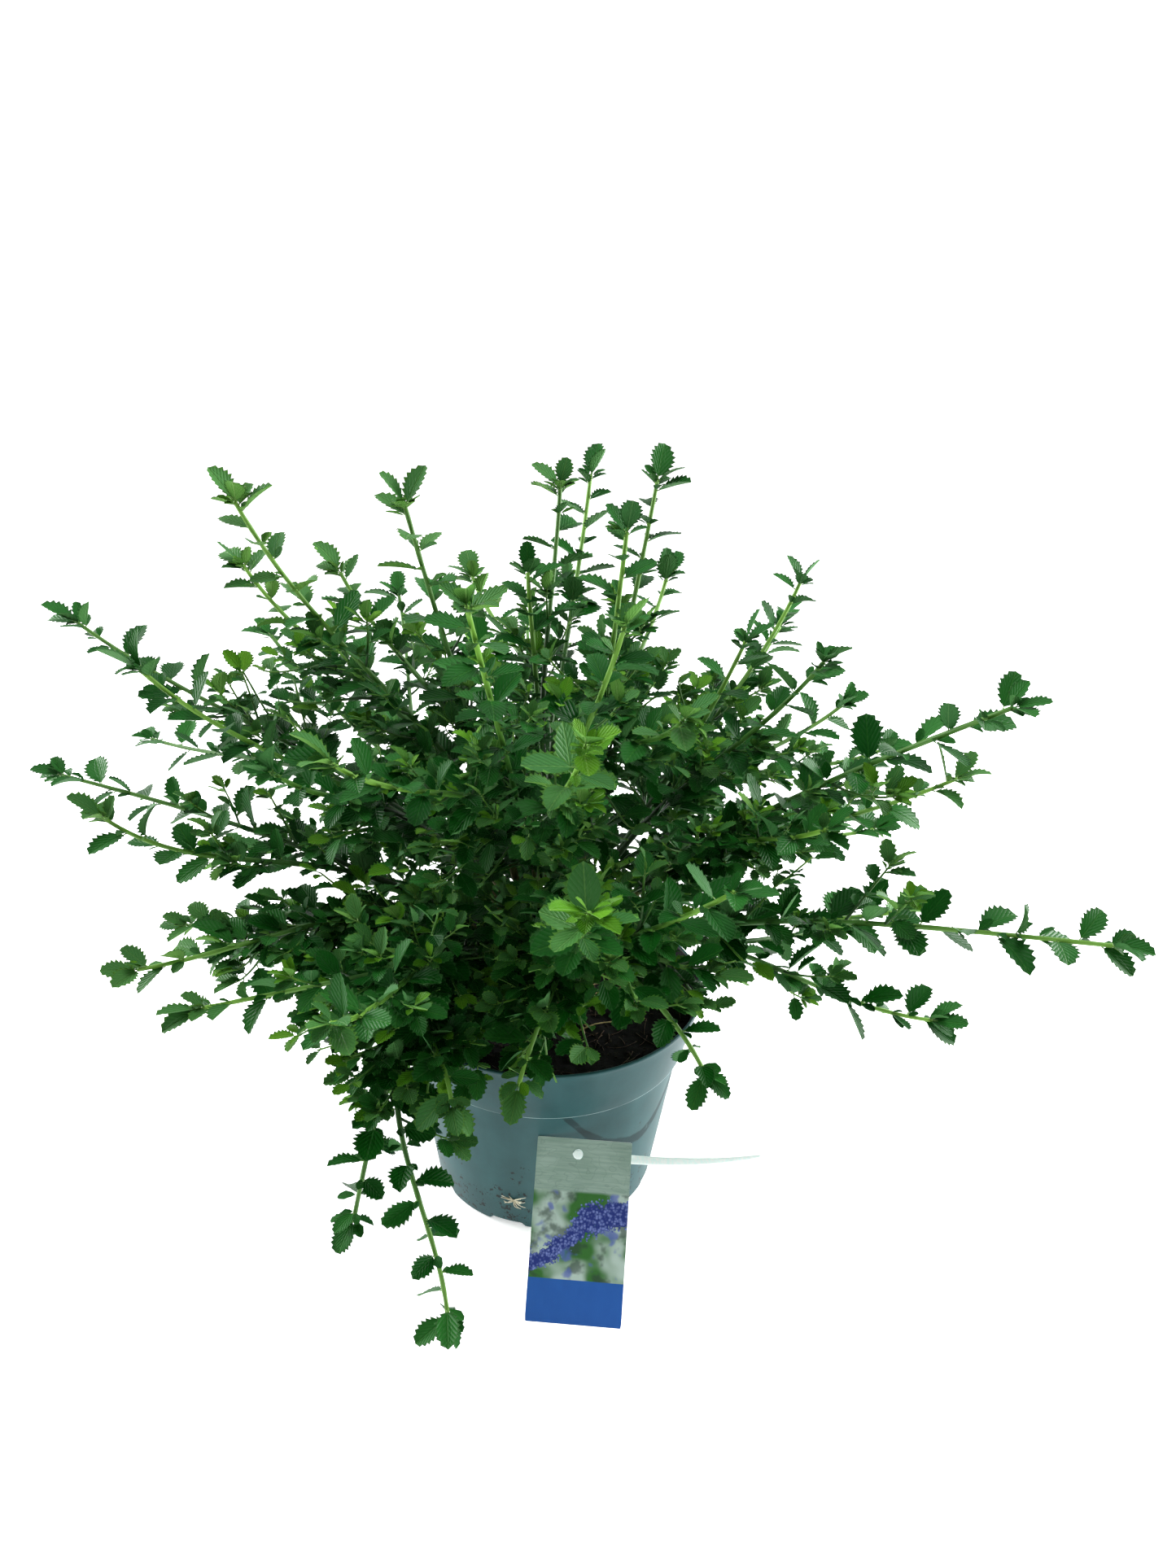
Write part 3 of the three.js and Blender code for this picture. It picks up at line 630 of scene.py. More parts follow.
# outline of the card: where the hole's ray at each angle meets the rectangle, and at a corner the corner's
# centre + corner radius * the way there
def cardEdge(angle):
    low, high = np.array([[-label["width"] / 2, 0], [label["width"] / 2, label["length"]]])
    toward = np.stack([np.cos(angle), np.sin(angle)], -1)
    slope = np.where(np.abs(toward) < 1e-9, 1e-9, toward)
    reach = (np.where(slope > 0, high - labelHole, low - labelHole) / slope).min(1)
    edge = labelHole + toward * reach[:, None]
    inner = np.clip(edge, low + label["corner"], high - label["corner"])
    off = edge - inner
    far = np.linalg.norm(off, axis=1, keepdims=True)
    return inner + off * np.minimum(1, label["corner"] / np.maximum(far, 1e-9))


# back sheet out from the hole's ring to the outline and front sheet back in: P = hole (1 - s) + outline s
def makeCard(*sides):
    halfWide, tall = label["width"] / 2, label["length"]
    x, y = np.array([[-halfWide, -halfWide, halfWide, halfWide], [0, tall, 0, tall]]) - labelHole[:, None]
    closer = [(np.arctan2(y, x) + step) % (2 * np.pi) for step in label["cornerSteps"]]
    angle = np.unique(np.concatenate([np.linspace(0, 2 * np.pi, label["rays"], endpoint=False), *closer]))
    ring = labelHole + label["holeRadius"] * np.stack([np.cos(angle), np.sin(angle)], -1)
    share = np.linspace(0, 1, label["rings"]) ** 1.3
    flat = mix(ring[None], cardEdge(angle)[None], share[:, None, None])
    back = np.concatenate([flat, np.zeros(flat.shape[:2] + (1,))], -1)
    front = back + [0, 0, label["thickness"]]
    grid = np.concatenate([back, front[::-1]])
    rows, columns = grid.shape[:2]
    j = np.arange(columns)
    after = (j + 1) % columns
    last = (rows - 1) * columns
    faces = np.concatenate([wrapGrid(rows, columns)[0], np.stack([last + j, last + after, after, j], -1)])
    spots = grid.reshape(-1, 3)
    uv = (spots[:, :2] + [halfWide, 0]) / [label["width"], tall]
    row = np.arange(len(faces)) // columns
    slots = np.where((row >= label["rings"]) & (row < rows - 1), 0, 1)
    addPiece("plant_label", "label_card", fromLabel(spots), [faces], [uv[faces]], *sides,
             replaced=["label_card"], slots=slots, smooth=False)


# printed face: grey wood grain above, a slanting drift of small blue florets before a blurred garden, and
# plain blue below
def printedCard(wire):
    uv = wire.ownUv()
    u, v, _ = uv.split()
    lines = uv.speckle(5, 5, 0.6, (0.5, 14, 1))
    knots = uv.speckle(3, 2, 0.5, (1, 3, 1))
    grain = 1 - abs((knots * 9.0).repeat() - 0.5).rise(0.0, 0.1)
    wood = (lines * 0.6 + knots * 0.4).rise(0.35, 0.68).blend(paint(138, 164, 151), paint(166, 190, 178))
    wood = (grain * lines * 0.5).blend(wood, paint(96, 116, 106))
    square = {"Vector": uv, "Scale": (1, 1.85, 1), "Location": (0.37, 0.21, 0)}
    spots = uv.node("ShaderNodeMapping", None, square)
    haze = spots.speckle(2.6, 2, 0.4)
    garden = haze.rise(0.4, 0.6).blend(paint(52, 112, 44), paint(184, 206, 196))
    garden = (spots.speckle(4.2, 3, 0.5).rise(0.5, 0.62) * 0.7).blend(garden, paint(40, 62, 52))
    garden = (spots.speckle(4.6, 2).rise(0.56, 0.66) * 0.75).blend(garden, paint(84, 100, 184))
    cells = spots.node("ShaderNodeTexVoronoi", {"feature": "F1"}, {"Vector": spots, "Scale": 34})
    petals = (cells * 0.7 + spots.speckle(15, 3) * 0.9).rise(0.4, 0.95)
    drift = abs(v - u * 0.34 - 0.31 + (haze - 0.5) * 0.3)
    cover = 1 - (drift + (cells - 0.4) * 0.07).rise(0.07, 0.085)
    picture = cover.blend(garden, petals.blend(paint(128, 146, 214), paint(32, 50, 128)))
    blue = uv.speckle(7, 3).blend(paint(28, 86, 166), paint(38, 98, 182))
    low, high = label["blueTop"], label["pictureTop"]
    colour = v.rise(high - 0.01, high + 0.01).blend(picture, wood)
    colour = v.rise(low - 0.002, low + 0.002).blend(blue, colour)
    creases = uv.speckle(30, 4)
    looks = {"Base Color": colour, "Roughness": 0.36 + creases * 0.12, "Specular IOR Level": 0.35}
    return looks, creases, 0.0001, 0.3


# plain pale card, a little cloudy
def paleCard(wire):
    cloud = wire.ownUv().speckle(12, 4)
    colour = cloud.blend(paint(210, 214, 210), paint(232, 234, 231))
    return {"Base Color": colour, "Roughness": 0.5 + cloud * 0.1}, cloud, 0.0001, 0.2


# milky plastic with flow lines, which lets some light through, and glows faintly as painted light
def milkyPlastic(wire):
    flow = wire.ownUv().speckle(6, 3, 0.5, (1, 9, 1))
    colour = flow.rise(0.3, 0.7).blend(paint(222, 240, 235), paint(246, 253, 250))
    # the emission is a painted glow, standing in for light that shines through the strap
    looks = {"Base Color": colour, "Roughness": 0.3 + flow * 0.15, "Transmission Weight": 0.1, "IOR": 1.46,
             "Emission Color": (0.8, 0.92, 0.9, 1), "Emission Strength": 0.16}
    return looks, flow, 0.0001, 0.3


# the tail is a flat rounded section, |cos a|^0.7 wide and |sin a|^0.7 thick, carried along a sagging curve
# (1 - s)^2 A + 2 s (1 - s) B + s^2 C and drawn in at its ends; a pin with a domed head holds it in the hole
def makeStrap(material):
    reach, thickness = strap["reach"], strap["thickness"]
    s = np.linspace(0, 1, strap["steps"])[:, None]
    first, bend, last = labelHole + [[-3, 0], [reach * 0.6, -strap["sag"]], [reach, strap["tipRise"]]]
    middle = (1 - s) ** 2 * first + 2 * s * (1 - s) * bend + s**2 * last
    ahead = unit(np.gradient(middle, axis=0))
    aside = np.stack([-ahead[:, 1], ahead[:, 0]], -1)
    ends = np.sqrt(np.clip(s / 0.03, 0.05, 1)) * np.sqrt(np.clip((1 - s) / 0.012, 0.05, 1))
    half = mix(strap["rootWidth"], strap["tipWidth"], s**1.6) / 2 * ends
    angle = around(strap["sides"])
    across = np.sign(np.cos(angle)) * np.abs(np.cos(angle)) ** 0.7
    thick = np.sign(np.sin(angle)) * np.abs(np.sin(angle)) ** 0.7 * thickness / 2
    centre = -seat - thickness / 2
    flat = middle[:, None] + aside[:, None] * (half * across[None])[..., None]
    rings = np.concatenate([flat, np.broadcast_to(centre + thick, flat.shape[:2])[..., None]], -1)
    tail = np.concatenate([rings.reshape(-1, 3), [[*middle[0], centre], [*middle[-1], centre]]])
    tailFaces, tailUvs = closedRings(strap["steps"], strap["sides"])
    radius = np.array(strap["pinRadii"]) * (label["holeRadius"] - seat)
    pin, pinFaces, pinUvs = turnedPiece(radius, np.array(strap["pinHeights"]), strap["pinSides"])
    pin[:, :2] += labelHole
    points = fromLabel(np.concatenate([tail, pin]))
    faces = tailFaces + [corners + len(tail) for corners in pinFaces]
    addPiece("label_tie", "label_strap", points, faces, tailUvs + pinUvs, material, replaced=["label_strap"])


makeCard(newMaterial("label_print", printedCard), newMaterial("label_back", paleCard))
makeStrap(newMaterial("strap_milky", milkyPlastic))
print("label made")

trunk = {
    "flareRadius": 12, "waistRadius": 8, "topRadius": 6.2, "flareHeight": 9, "height": 44,
    "lean": (3, 2),  # of its top, to the right and to the back
    "sunk": 2.5,  # depth of its foot in the soil
    "crownDrop": 3,  # height of its rounded top, with the shares of the drop left and the radii on the way
    "crownShares": (0.7, 0.35, 0.08), "crownRadii": (5.9, 5.3, 3.6),
    "rows": 70, "sides": 72,
    "ridges": 11, "ridgeDepth": 0.07,  # of the bark
}
bough = {"rootRadius": 2.5, "tipRadius": 1.9, "steps": 40, "sides": 18}
shoot = {
    "rootRadius": 1.8, "tipRadius": 1.15, "steps": 34, "sides": 8,
    "forkAt": 0.14,  # share of the leader's length at which each next shoot forks off
    "bend": 0.36,  # length of a curve's handles, of its chord
}

# name: height at which the bough leaves the stem, its tip (heading, reach, height) and its masses, each a
# list of long shoots (heading, reach and height of the tip, and lift or droop of the end), the leader first
boughs = {
    "front_left_low": (140, (225, 64, 178), {
        "weeping_left": [(232, 166, 66, -1.1), (251, 146, 152, -0.5), (254, 177, 38, -1.1)],
        "front_left": [(248, 236, 258, 0.2), (212, 208, 188, 0)],
    }),
    "left_low": (143, (193, 58, 188), {
        "left_low": [(203, 232, 198, 0), (181, 214, 172, -0.1)],
        "left": [(176, 285, 258, -0.1), (194, 240, 270, 0.6)],
    }),
    "left_high": (151, (174, 48, 212), {
        "left_far": [(168, 284, 338, 0.1), (158, 280, 246, 0)],
        "left_front": [(196, 212, 352, 0.3), (218, 168, 318, 0.2)],
    }),
    "top_left": (159, (188, 28, 238), {
        "top_left": [(191, 160, 430, 0.4), (165, 182, 378, 0.4)],
        "crown_left": [(208, 83, 432, 0.1), (155, 136, 372, 0.3)],
    }),
    "front_high": (157, (256, 34, 230), {
        "front_high_left": [(260, 190, 426, 0), (242, 192, 352, 0.2)],
        "front_high_right": [(274, 192, 372, 0.1), (283, 134, 402, 0.3)],
    }),
    "crown": (158, (100, 13, 250), {
        "crown": [(125, 26, 384, 0.2), (88, 60, 424, 0.2)],
        "crown_back": [(80, 118, 420, 0.3), (112, 140, 352, 0.3)],
    }),
    "crown_right": (160, (345, 22, 242), {
        "crown_right": [(42, 75, 430, 0.1), (57, 128, 362, 0.3)],
        "crown_front": [(311, 53, 422, 0.2), (300, 122, 350, 0.2)],
    }),
    "right_high": (154, (16, 42, 216), {
        "right_high": [(33, 180, 362, 0.5), (20, 118, 342, 0.3)],
        "right_mid": [(336, 147, 364, 0.2), (19, 187, 296, 0.2)],
    }),
    "right": (149, (350, 54, 204), {
        "right": [(355, 226, 284, 0.1), (9, 200, 226, 0)],
        "right_front": [(324, 246, 374, -0.1), (318, 176, 300, 0.1)],
    }),
    "right_low": (141, (328, 60, 186), {
        "right_low": [(345, 228, 150, 0.2), (1, 180, 172, 0)],
        "right_front_low": [(327, 305, 268, -0.1), (340, 198, 226, 0.1)],
    }),
    "front_low": (144, (280, 54, 182), {
        "front_right": [(295, 190, 296, 0.1), (300, 160, 172, -0.9), (310, 132, 206, 0)],
        "front": [(274, 226, 316, 0.1), (264, 132, 158, -0.5)],
    }),
    "back_left": (147, (135, 56, 192), {
        "back_left_low": [(144, 232, 206, 0), (160, 220, 176, 0)],
        "back_left": [(140, 248, 300, 0.2), (121, 205, 326, 0.3)],
    }),
    "back": (142, (92, 56, 188), {
        "back_low": [(104, 236, 196, 0), (80, 214, 150, -0.4)],
        "back": [(95, 226, 290, 0.2), (72, 222, 254, 0.1)],
    }),
    "back_right": (146, (46, 56, 192), {
        "back_right_low": [(34, 240, 178, 0), (56, 226, 206, 0)],
        "back_right": [(48, 232, 310, 0.2), (24, 236, 252, 0.1)],
    }),
}
pathSteps = 40  # straight steps by which a curve's length is measured


# cubic Bezier points: sum of C(3, i) (1 - t)^(3 - i) t^i P_i
def bezier(curves, t):
    t = np.asarray(t)[..., None]
    a, b, c, d = np.moveaxis(curves, -2, 0)
    return (1 - t) ** 3 * a + 3 * (1 - t) ** 2 * t * b + 3 * (1 - t) * t**2 * c + t**3 * d


# their slope: sum of 3 C(2, i) (1 - t)^(2 - i) t^i (P_i+1 - P_i)
def bezierSlope(curves, t):
    t = np.asarray(t)[..., None]
    a, b, c, d = np.moveaxis(curves, -2, 0)
    return 3 * (1 - t) ** 2 * (b - a) + 6 * (1 - t) * t * (c - b) + 3 * t**2 * (d - c)


# share of the length gone at even steps of t, and the length of each curve
def lengths(curves):
    path = bezier(curves[:, None], np.linspace(0, 1, pathSteps + 1)[None])
    gone = np.cumsum(np.linalg.norm(np.diff(path, axis=1), axis=-1), axis=1)
    gone = np.concatenate([np.zeros((len(curves), 1)), gone], 1)
    return gone / gone[:, -1:], gone[:, -1]


# points and directions at shares of the length of the curves named by which
def onCurves(curves, which, share):
    gone = lengths(curves)[0][which]
    after = np.clip((gone < share[:, None]).sum(1), 1, pathSteps)
    row = np.arange(len(which))
    low, high = gone[row, after - 1], gone[row, after]
    t = (after - 1 + (share - low) / np.maximum(high - low, 1e-9)) / pathSteps
    return bezier(curves[which], t), unit(bezierSlope(curves[which], t))


# P1 = start + leave * pull, P2 = tip - arrive * pull, with pull = bend * chord and arrive lifted or hanging
def limbCurve(start, leave, tip, lift):
    chord = tip - start
    pull = np.linalg.norm(chord, axis=-1, keepdims=True) * shoot["bend"]
    arrive = unit(unit(chord) + up * lift)
    return np.stack([start, start + leave * pull, tip - arrive * pull, tip], -2)


# points of each curve at the rule's even steps, and radii that taper evenly from its root to its tip
def drawStalks(curves, rule):
    t = np.linspace(0, 1, rule["steps"])
    radii = np.repeat(mix(rule["rootRadius"], rule["tipRadius"], t)[None], len(curves), 0)
    return bezier(curves[:, None], t[None]), radii


# the stem's middle line leans evenly as it climbs
def trunkAxis(z):
    share = (np.asarray(z) - soil["top"]) / trunk["height"]
    across, back = trunk["lean"]
    return np.stack([across * share, back * share, share * trunk["height"] + soil["top"]], -1)


# root flare by the square root of the height, then a straight taper
def trunkRadius(z):
    above = np.asarray(z) - soil["top"]
    spread = np.sqrt(np.clip(above / trunk["flareHeight"], 0, 1))
    flare = mix(trunk["flareRadius"], trunk["waistRadius"], spread)
    share = (above - trunk["flareHeight"]) / (trunk["height"] - trunk["flareHeight"])
    return np.where(above < trunk["flareHeight"], flare, mix(trunk["waistRadius"], trunk["topRadius"], share))


# a bough leaves clear of the stem's side, a little steeper than straight to its tip
def boughCurve(fork, tip):
    end, outward, axis = place(*tip), place(tip[0], 1, 0), trunkAxis(fork)
    leave = unit(mix(unit(end - axis), up, 0.15))
    tilt = math.sqrt(1 - float(leave @ outward) ** 2)
    clear = float(trunkRadius(fork)) + seat + bough["rootRadius"] * tilt
    return limbCurve(axis + outward * clear, leave, end, 0)


# the long shoots of a bough's two masses: leaders part either side of its tip, the others fork from them
def massCurves(boughLine, masses):
    end = boughLine[3]
    along = unit(boughLine[3] - boughLine[2])
    tips = [place(*shoots[0][:3]) for shoots in masses.values()]
    apart = tips[0] - tips[1]
    apart = unit(apart - along * (apart @ along))
    made = []
    for number, (name, shoots) in enumerate(masses.items()):
        leave = unit(mix(unit(tips[number] - end), along, 0.5))
        tilt = math.sqrt(1 - float(leave @ along) ** 2)
        sideways = (-1 if number else 1) * (shoot["rootRadius"] + seat)
        begin = end + along * (seat + shoot["rootRadius"] * tilt) + apart * sideways
        leader = limbCurve(begin, leave, tips[number], shoots[0][3])
        curves = [leader]
        for i, (heading, reach, height, lift) in enumerate(shoots[1:], 1):
            at, ahead = onCurves(leader[None], np.array([0]), np.array([shoot["forkAt"] * i]))
            curves.append(limbCurve(at[0], ahead[0], place(heading, reach, height), lift))
        made.append((name, np.stack(curves)))
    return made


boughLines = np.stack([boughCurve(fork, tip) for fork, tip, _ in boughs.values()])
massLines = [m for line, (_, _, masses) in zip(boughLines, boughs.values()) for m in massCurves(line, masses)]
massNames = [name for name, _ in massLines]
shootLines = np.concatenate([curves for _, curves in massLines])
shootMass = np.concatenate([np.full(len(curves), i) for i, (_, curves) in enumerate(massLines)])
print(len(boughLines), "boughs,", len(massNames), "masses,", len(shootLines), "long shoots")


# woody bark: ridges that run along it, with small pale pores, greenish where it is young
def barkLooks(wire, dark, pale, green, greenFrom):
    at = wire.objectPlace()
    _, v, _ = wire.ownUv().split()
    flow = at.speckle(260, 5, 0.65, (1, 1, 0.22))
    fine = at.speckle(900, 3, 0.6, (1, 1, 0.4))
    woody = flow.rise(0.32, 0.66).blend(dark, pale)
    colour = (v.rise(greenFrom, 1.2) * flow.rise(0.2, 0.7)).blend(woody, green)
    pores = at.speckle(520, 2, 0.4, (1, 1, 2.2)).rise(0.68, 0.74)
    colour = (pores * 0.5).blend(colour, paint(150, 134, 104))
    looks = {"Base Color": colour, "Roughness": 0.62 + fine * 0.3, "Specular IOR Level": 0.3}
    return looks, flow * 0.7 + fine * 0.3, 0.0007, 0.8


# r = trunkRadius(z) (1 + depth * ridges), where ridges wander round the stem as they climb
def makeTrunk(material):
    base, top = soil["top"] - trunk["sunk"], soil["top"] + seat + trunk["height"]
    shoulder = top - trunk["crownDrop"]
    z = np.linspace(base, shoulder, trunk["rows"])
    z = np.concatenate([z, top - trunk["crownDrop"] * np.array(trunk["crownShares"])])
    radius = trunkRadius(z)
    radius[trunk["rows"]:] = trunk["crownRadii"]
    angle = around(trunk["sides"])
    ring = np.stack([9 * np.cos(angle), 9 * np.sin(angle), 0 * angle], -1)
    at = ring + np.stack([0 * z, 0 * z, z], -1)[:, None] * 0.35
    ridge = np.abs(np.sin(angle * trunk["ridges"] / 2 + roughNoise(at, 7, 4) * 5)) ** 0.7
    knobs = roughNoise(at, 3.2, 8)
    wide = radius[:, None] * (1 + trunk["ridgeDepth"] * (ridge - 0.75) + 0.10 * (knobs - 0.5))
    rings = trunkAxis(z)[:, None] + np.stack([wide * np.cos(angle), wide * np.sin(angle), 0 * wide], -1)
    points = np.concatenate([rings.reshape(-1, 3), trunkAxis([base, top])])
    addPiece("woody_stem", "bark", points, *closedRings(*wide.shape), material, replaced=["stem_base"])


# the same bark on the boughs: each tube's radius times 1 + small ridges, with a knob now and then
def makeBoughs(material):
    lines, radii = drawStalks(boughLines, bough)
    angle, t = around(bough["sides"]), np.linspace(0, 1, bough["steps"])
    ring = np.stack([3 * np.cos(angle), 3 * np.sin(angle), 0 * angle], -1)[None, None]
    along = np.stack([0 * t, 0 * t, t * 60], -1)[None, :, None]
    along = along + np.arange(len(lines))[:, None, None, None] * 37.0
    relief = 0.93 + 0.16 * roughNoise(ring + along, 3.0, 2)
    addPiece("bough_wood", "bark", *tubes(lines, radii, bough["sides"], relief), material,
             replaced=["bough_" + name for name in boughs])


stemBrowns = paint(58, 44, 30), paint(112, 92, 66), paint(92, 96, 52)
boughBrowns = paint(62, 50, 32), paint(112, 98, 62), paint(78, 98, 48)
makeTrunk(newMaterial("stem_bark", barkLooks, *stemBrowns, 1.0))
makeBoughs(newMaterial("bough_bark", barkLooks, *boughBrowns, 0.2))
print("stem and boughs made")

# how a stalk carries finer ones: one every so many millimetres between two shares of its length, at spread
# degrees from it and then lifted, each as long as the stalk times a share times (fade - the share gone)
twigs = {
    "every": 15, "from": 0.06, "to": 0.64, "spread": 50, "lift": 0.5,
    "longest": 75, "share": 0.33, "fade": 1.0,
    "rootRadius": 0.85, "tipRadius": 0.5, "steps": 9, "sides": 5,
}
twiglets = {
    "every": 15, "from": 0.22, "to": 0.85, "spread": 52, "lift": 0.5,
    "longest": 24, "share": 0.42, "fade": 1.2,
    "rootRadius": 0.45, "tipRadius": 0.3, "steps": 5, "sides": 4,
}
offshoots = {**twiglets, "every": 17, "from": 0.2, "longest": 34, "rootRadius": 0.5}
inner = {
    "slant": 1.2, "lift": 0.25, "shortest": 17, "longest": 130,
    "rootRadius": 0.95, "tipRadius": 0.5, "steps": 12, "sides": 5,
}
# what the tips of the inner shoots fill: ellipsoids of evenly strewn points, each with its own height above
# its middle and below it
fills = {
    "dome": {"count": 272, "middle": (0, -8, 212), "wide": 138, "deep": 150, "above": 146, "below": 70},
    "front": {"count": 170, "middle": (-10, -52, 208), "wide": 120, "deep": 70, "above": 62, "below": 50},
    "heart": {"count": 170, "middle": (0, 5, 188), "wide": 90, "deep": 76, "above": 52, "below": 46},
    "skirt": {"count": 80, "middle": (-62, -78, 160), "wide": 80, "deep": 60, "above": 40, "below": 34},
    "left": {"count": 26, "middle": (-150, -48, 186), "wide": 38, "deep": 40, "above": 18, "below": 20},
    "leftTop": {"count": 10, "middle": (-158, 30, 312), "wide": 34, "deep": 60, "above": 20, "below": 10},
}
sparse = {  # masses whose shoots keep only this share of their side twigs
    "right_front_low": 0.35, "right_low": 0.4, "right": 0.65, "crown_right": 0.6, "crown": 0.5,
    "crown_back": 0.6, "left_far": 0.5, "left_front": 0.2, "left": 0.75, "back_left": 0.55,
}
# masses whose long shoots are yellow-green
freshTips = ("front", "front_high_left", "front_high_right", "front_left")
window = {"x": (4, 140), "y": (-150, -5), "below": 180}  # where the soil shows through the crown
space = {
    "cellGap": 0.5,  # what a mass's own shoots must be nearer by than the next mass's
    "limbGap": 0.6, "potGap": 1, "soilGap": 3, "ground": 2,  # clearances
    "siteStep": 5,  # between the points by which shoots and limbs are felt
    "apart": 4.6, "axilsApart": 2.2,  # between the middles of leaves, and of small leaves
    "shortestTwig": 9,
    "lowestTwig": 122,  # hanging shoots carry no twigs below this height
    "shared": 99,  # the mass number of a shoot that grows from a bough
    "batch": 3000,  # points felt at a time
}


# level direction across a stalk: along x up, or x where the stalk is upright
def side(along):
    across = np.cross(along, up)
    flat = np.linalg.norm(across, axis=-1, keepdims=True) < 0.05
    return unit(np.where(flat, [1.0, 0, 0], across))


# leans away from the stalk by spread degrees, turned round it by turn: along cos s + out sin s
def branchOff(along, turn, spread):
    across = side(along)
    over = np.cross(across, along)
    out = across * np.cos(turn)[:, None] + over * np.sin(turn)[:, None]
    lean = np.radians(spread)[..., None]
    return unit(along * np.cos(lean) + out * np.sin(lean))


# points along the curves, no more than a step apart, with their curve and their share of its length
def sitesOf(curves):
    counts = np.ceil(lengths(curves)[1] / space["siteStep"]).astype(int) + 1
    which = np.repeat(np.arange(len(curves)), counts)
    share = np.concatenate([np.linspace(0, 1, c) for c in counts])
    return onCurves(curves, which, share)[0], which, share


sites, siteShoot, _ = sitesOf(shootLines)
siteMass = shootMass[siteShoot]
limbSites, limbWhich, _ = sitesOf(boughLines)
stemZ = np.arange(soil["top"], soil["top"] + trunk["height"] + 1, 2.0)
limbSites = np.concatenate([limbSites, trunkAxis(stemZ)])
limbRadius = np.concatenate([np.full(len(limbWhich), bough["rootRadius"]), trunkRadius(stemZ)])


# a point fits where its own mass's shoots are the nearest, clear of the limbs and the pot. On a shared shoot
# every mass counts as its own
def fits(points, mass, radii):
    radii = np.broadcast_to(radii, len(points))
    kept = np.zeros(len(points), bool)
    for first in range(0, len(points), space["batch"]):
        batch = slice(first, first + space["batch"])
        p, m, radius = points[batch], mass[batch], radii[batch]
        far = np.linalg.norm(p[:, None] - sites[None], axis=-1)
        own = (m[:, None] == siteMass[None]) | (m[:, None] == space["shared"])
        mine = np.where(own, far, 1e9).min(1)
        others = np.where(own, 1e9, far).min(1)
        limbFar = (np.linalg.norm(p[:, None] - limbSites[None], axis=-1) - limbRadius).min(1)
        out, z = np.hypot(p[:, 0], p[:, 1]), p[:, 2]
        wall, gap = potRadius(z), radius + space["potGap"]
        overRim = z > pot["height"] + radius + seat
        outside = (z > space["ground"] + radius) & (out > wall + gap)
        within = (z > soil["top"] + space["soilGap"]) & (out < wall - pot["thickness"] - gap)
        clear = overRim | outside | within
        kept[batch] = (others > mine + space["cellGap"]) & (limbFar > space["limbGap"]) & clear
    return kept


# left < x < right, front < y < back and z < below
def inWindow(points):
    x, y, z = np.moveaxis(points, -1, 0)
    (left, right), (front, back) = window["x"], window["y"]
    return (x > left) & (x < right) & (y > front) & (y < back) & (z < window["below"])


# which of the curves fit at all these shares of t
def curvesFit(grown, mass, rule, shares):
    spots = [bezier(grown, np.full(len(grown), at)) for at in shares]
    return np.logical_and.reduce([fits(spot, mass, rule["rootRadius"]) for spot in spots])


# flat counters of `counts` things on each parent: which parent, and the how-many-th
def spreadOut(counts):
    which = np.repeat(np.arange(len(counts)), counts)
    return which, np.arange(len(which)) - np.repeat(np.cumsum(counts) - counts, counts)


# side twigs of a set of stalks: foot on the stalk, elbow half way out, and an outer half that turns up
def growTwigs(rule, curves, mass, seeds):
    _, long = lengths(curves)
    counts = np.round(long * (rule["to"] - rule["from"]) / rule["every"]).astype(int)
    which, k = spreadOut(counts)
    share = rule["from"] + (rule["to"] - rule["from"]) * (k + 0.5) / counts[which]
    share = share + (chance(which, k, 31) - 0.5) * 0.5 / counts[which]
    foot, along = onCurves(curves, which, share)
    turn = chance(mass[which], seeds[which], 2) * 2 * np.pi + k * goldenTurn
    out = branchOff(along, turn, rule["spread"] + 16 * (chance(which, k, 32) - 0.5))
    vary = 0.55 + 0.6 * chance(mass[which], seeds[which], k + 40)
    reach = np.minimum(rule["longest"], long[which] * rule["share"] * (rule["fade"] - share) * vary)[:, None]
    turned = unit(mix(out, along, 0.3) + up * rule["lift"])
    elbow = foot + out * reach * 0.5
    end = elbow + turned * reach * 0.5
    grown = np.stack([foot, mix(foot, elbow, 2 / 3), mix(end, elbow, 2 / 3), end], 1)
    kept = (reach[:, 0] > space["shortestTwig"]) & (foot[:, 2] > space["lowestTwig"]) & ~inWindow(end)
    kept &= chance(seeds[which], k, 36) < twigShareOf[mass[which]]
    kept &= curvesFit(grown, mass[which], rule, (0.4, 0.7, 1.0))
    return grown[kept], mass[which][kept], which[kept], share[kept], (seeds[which] * 10 + k)[kept]


# evenly strewn points of an ellipsoid: a direction and the cube root of a share of the way out, from three
# steps that never fall in line
def evenPoints(count, middle, wide, deep, above, below):
    even = (0.5 + np.arange(count)[:, None] * np.array([0.8191725, 0.6710436, 0.5497005])) % 1
    rise, turn = even[:, 0] * 2 - 1, even[:, 1] * 2 * np.pi
    flat = np.sqrt(1 - rise**2)
    tall = np.where(rise > 0, above, below)
    ball = np.stack([flat * np.cos(turn) * wide, flat * np.sin(turn) * deep, rise * tall], -1)
    return np.array(middle) + ball * np.cbrt(even[:, 2:])


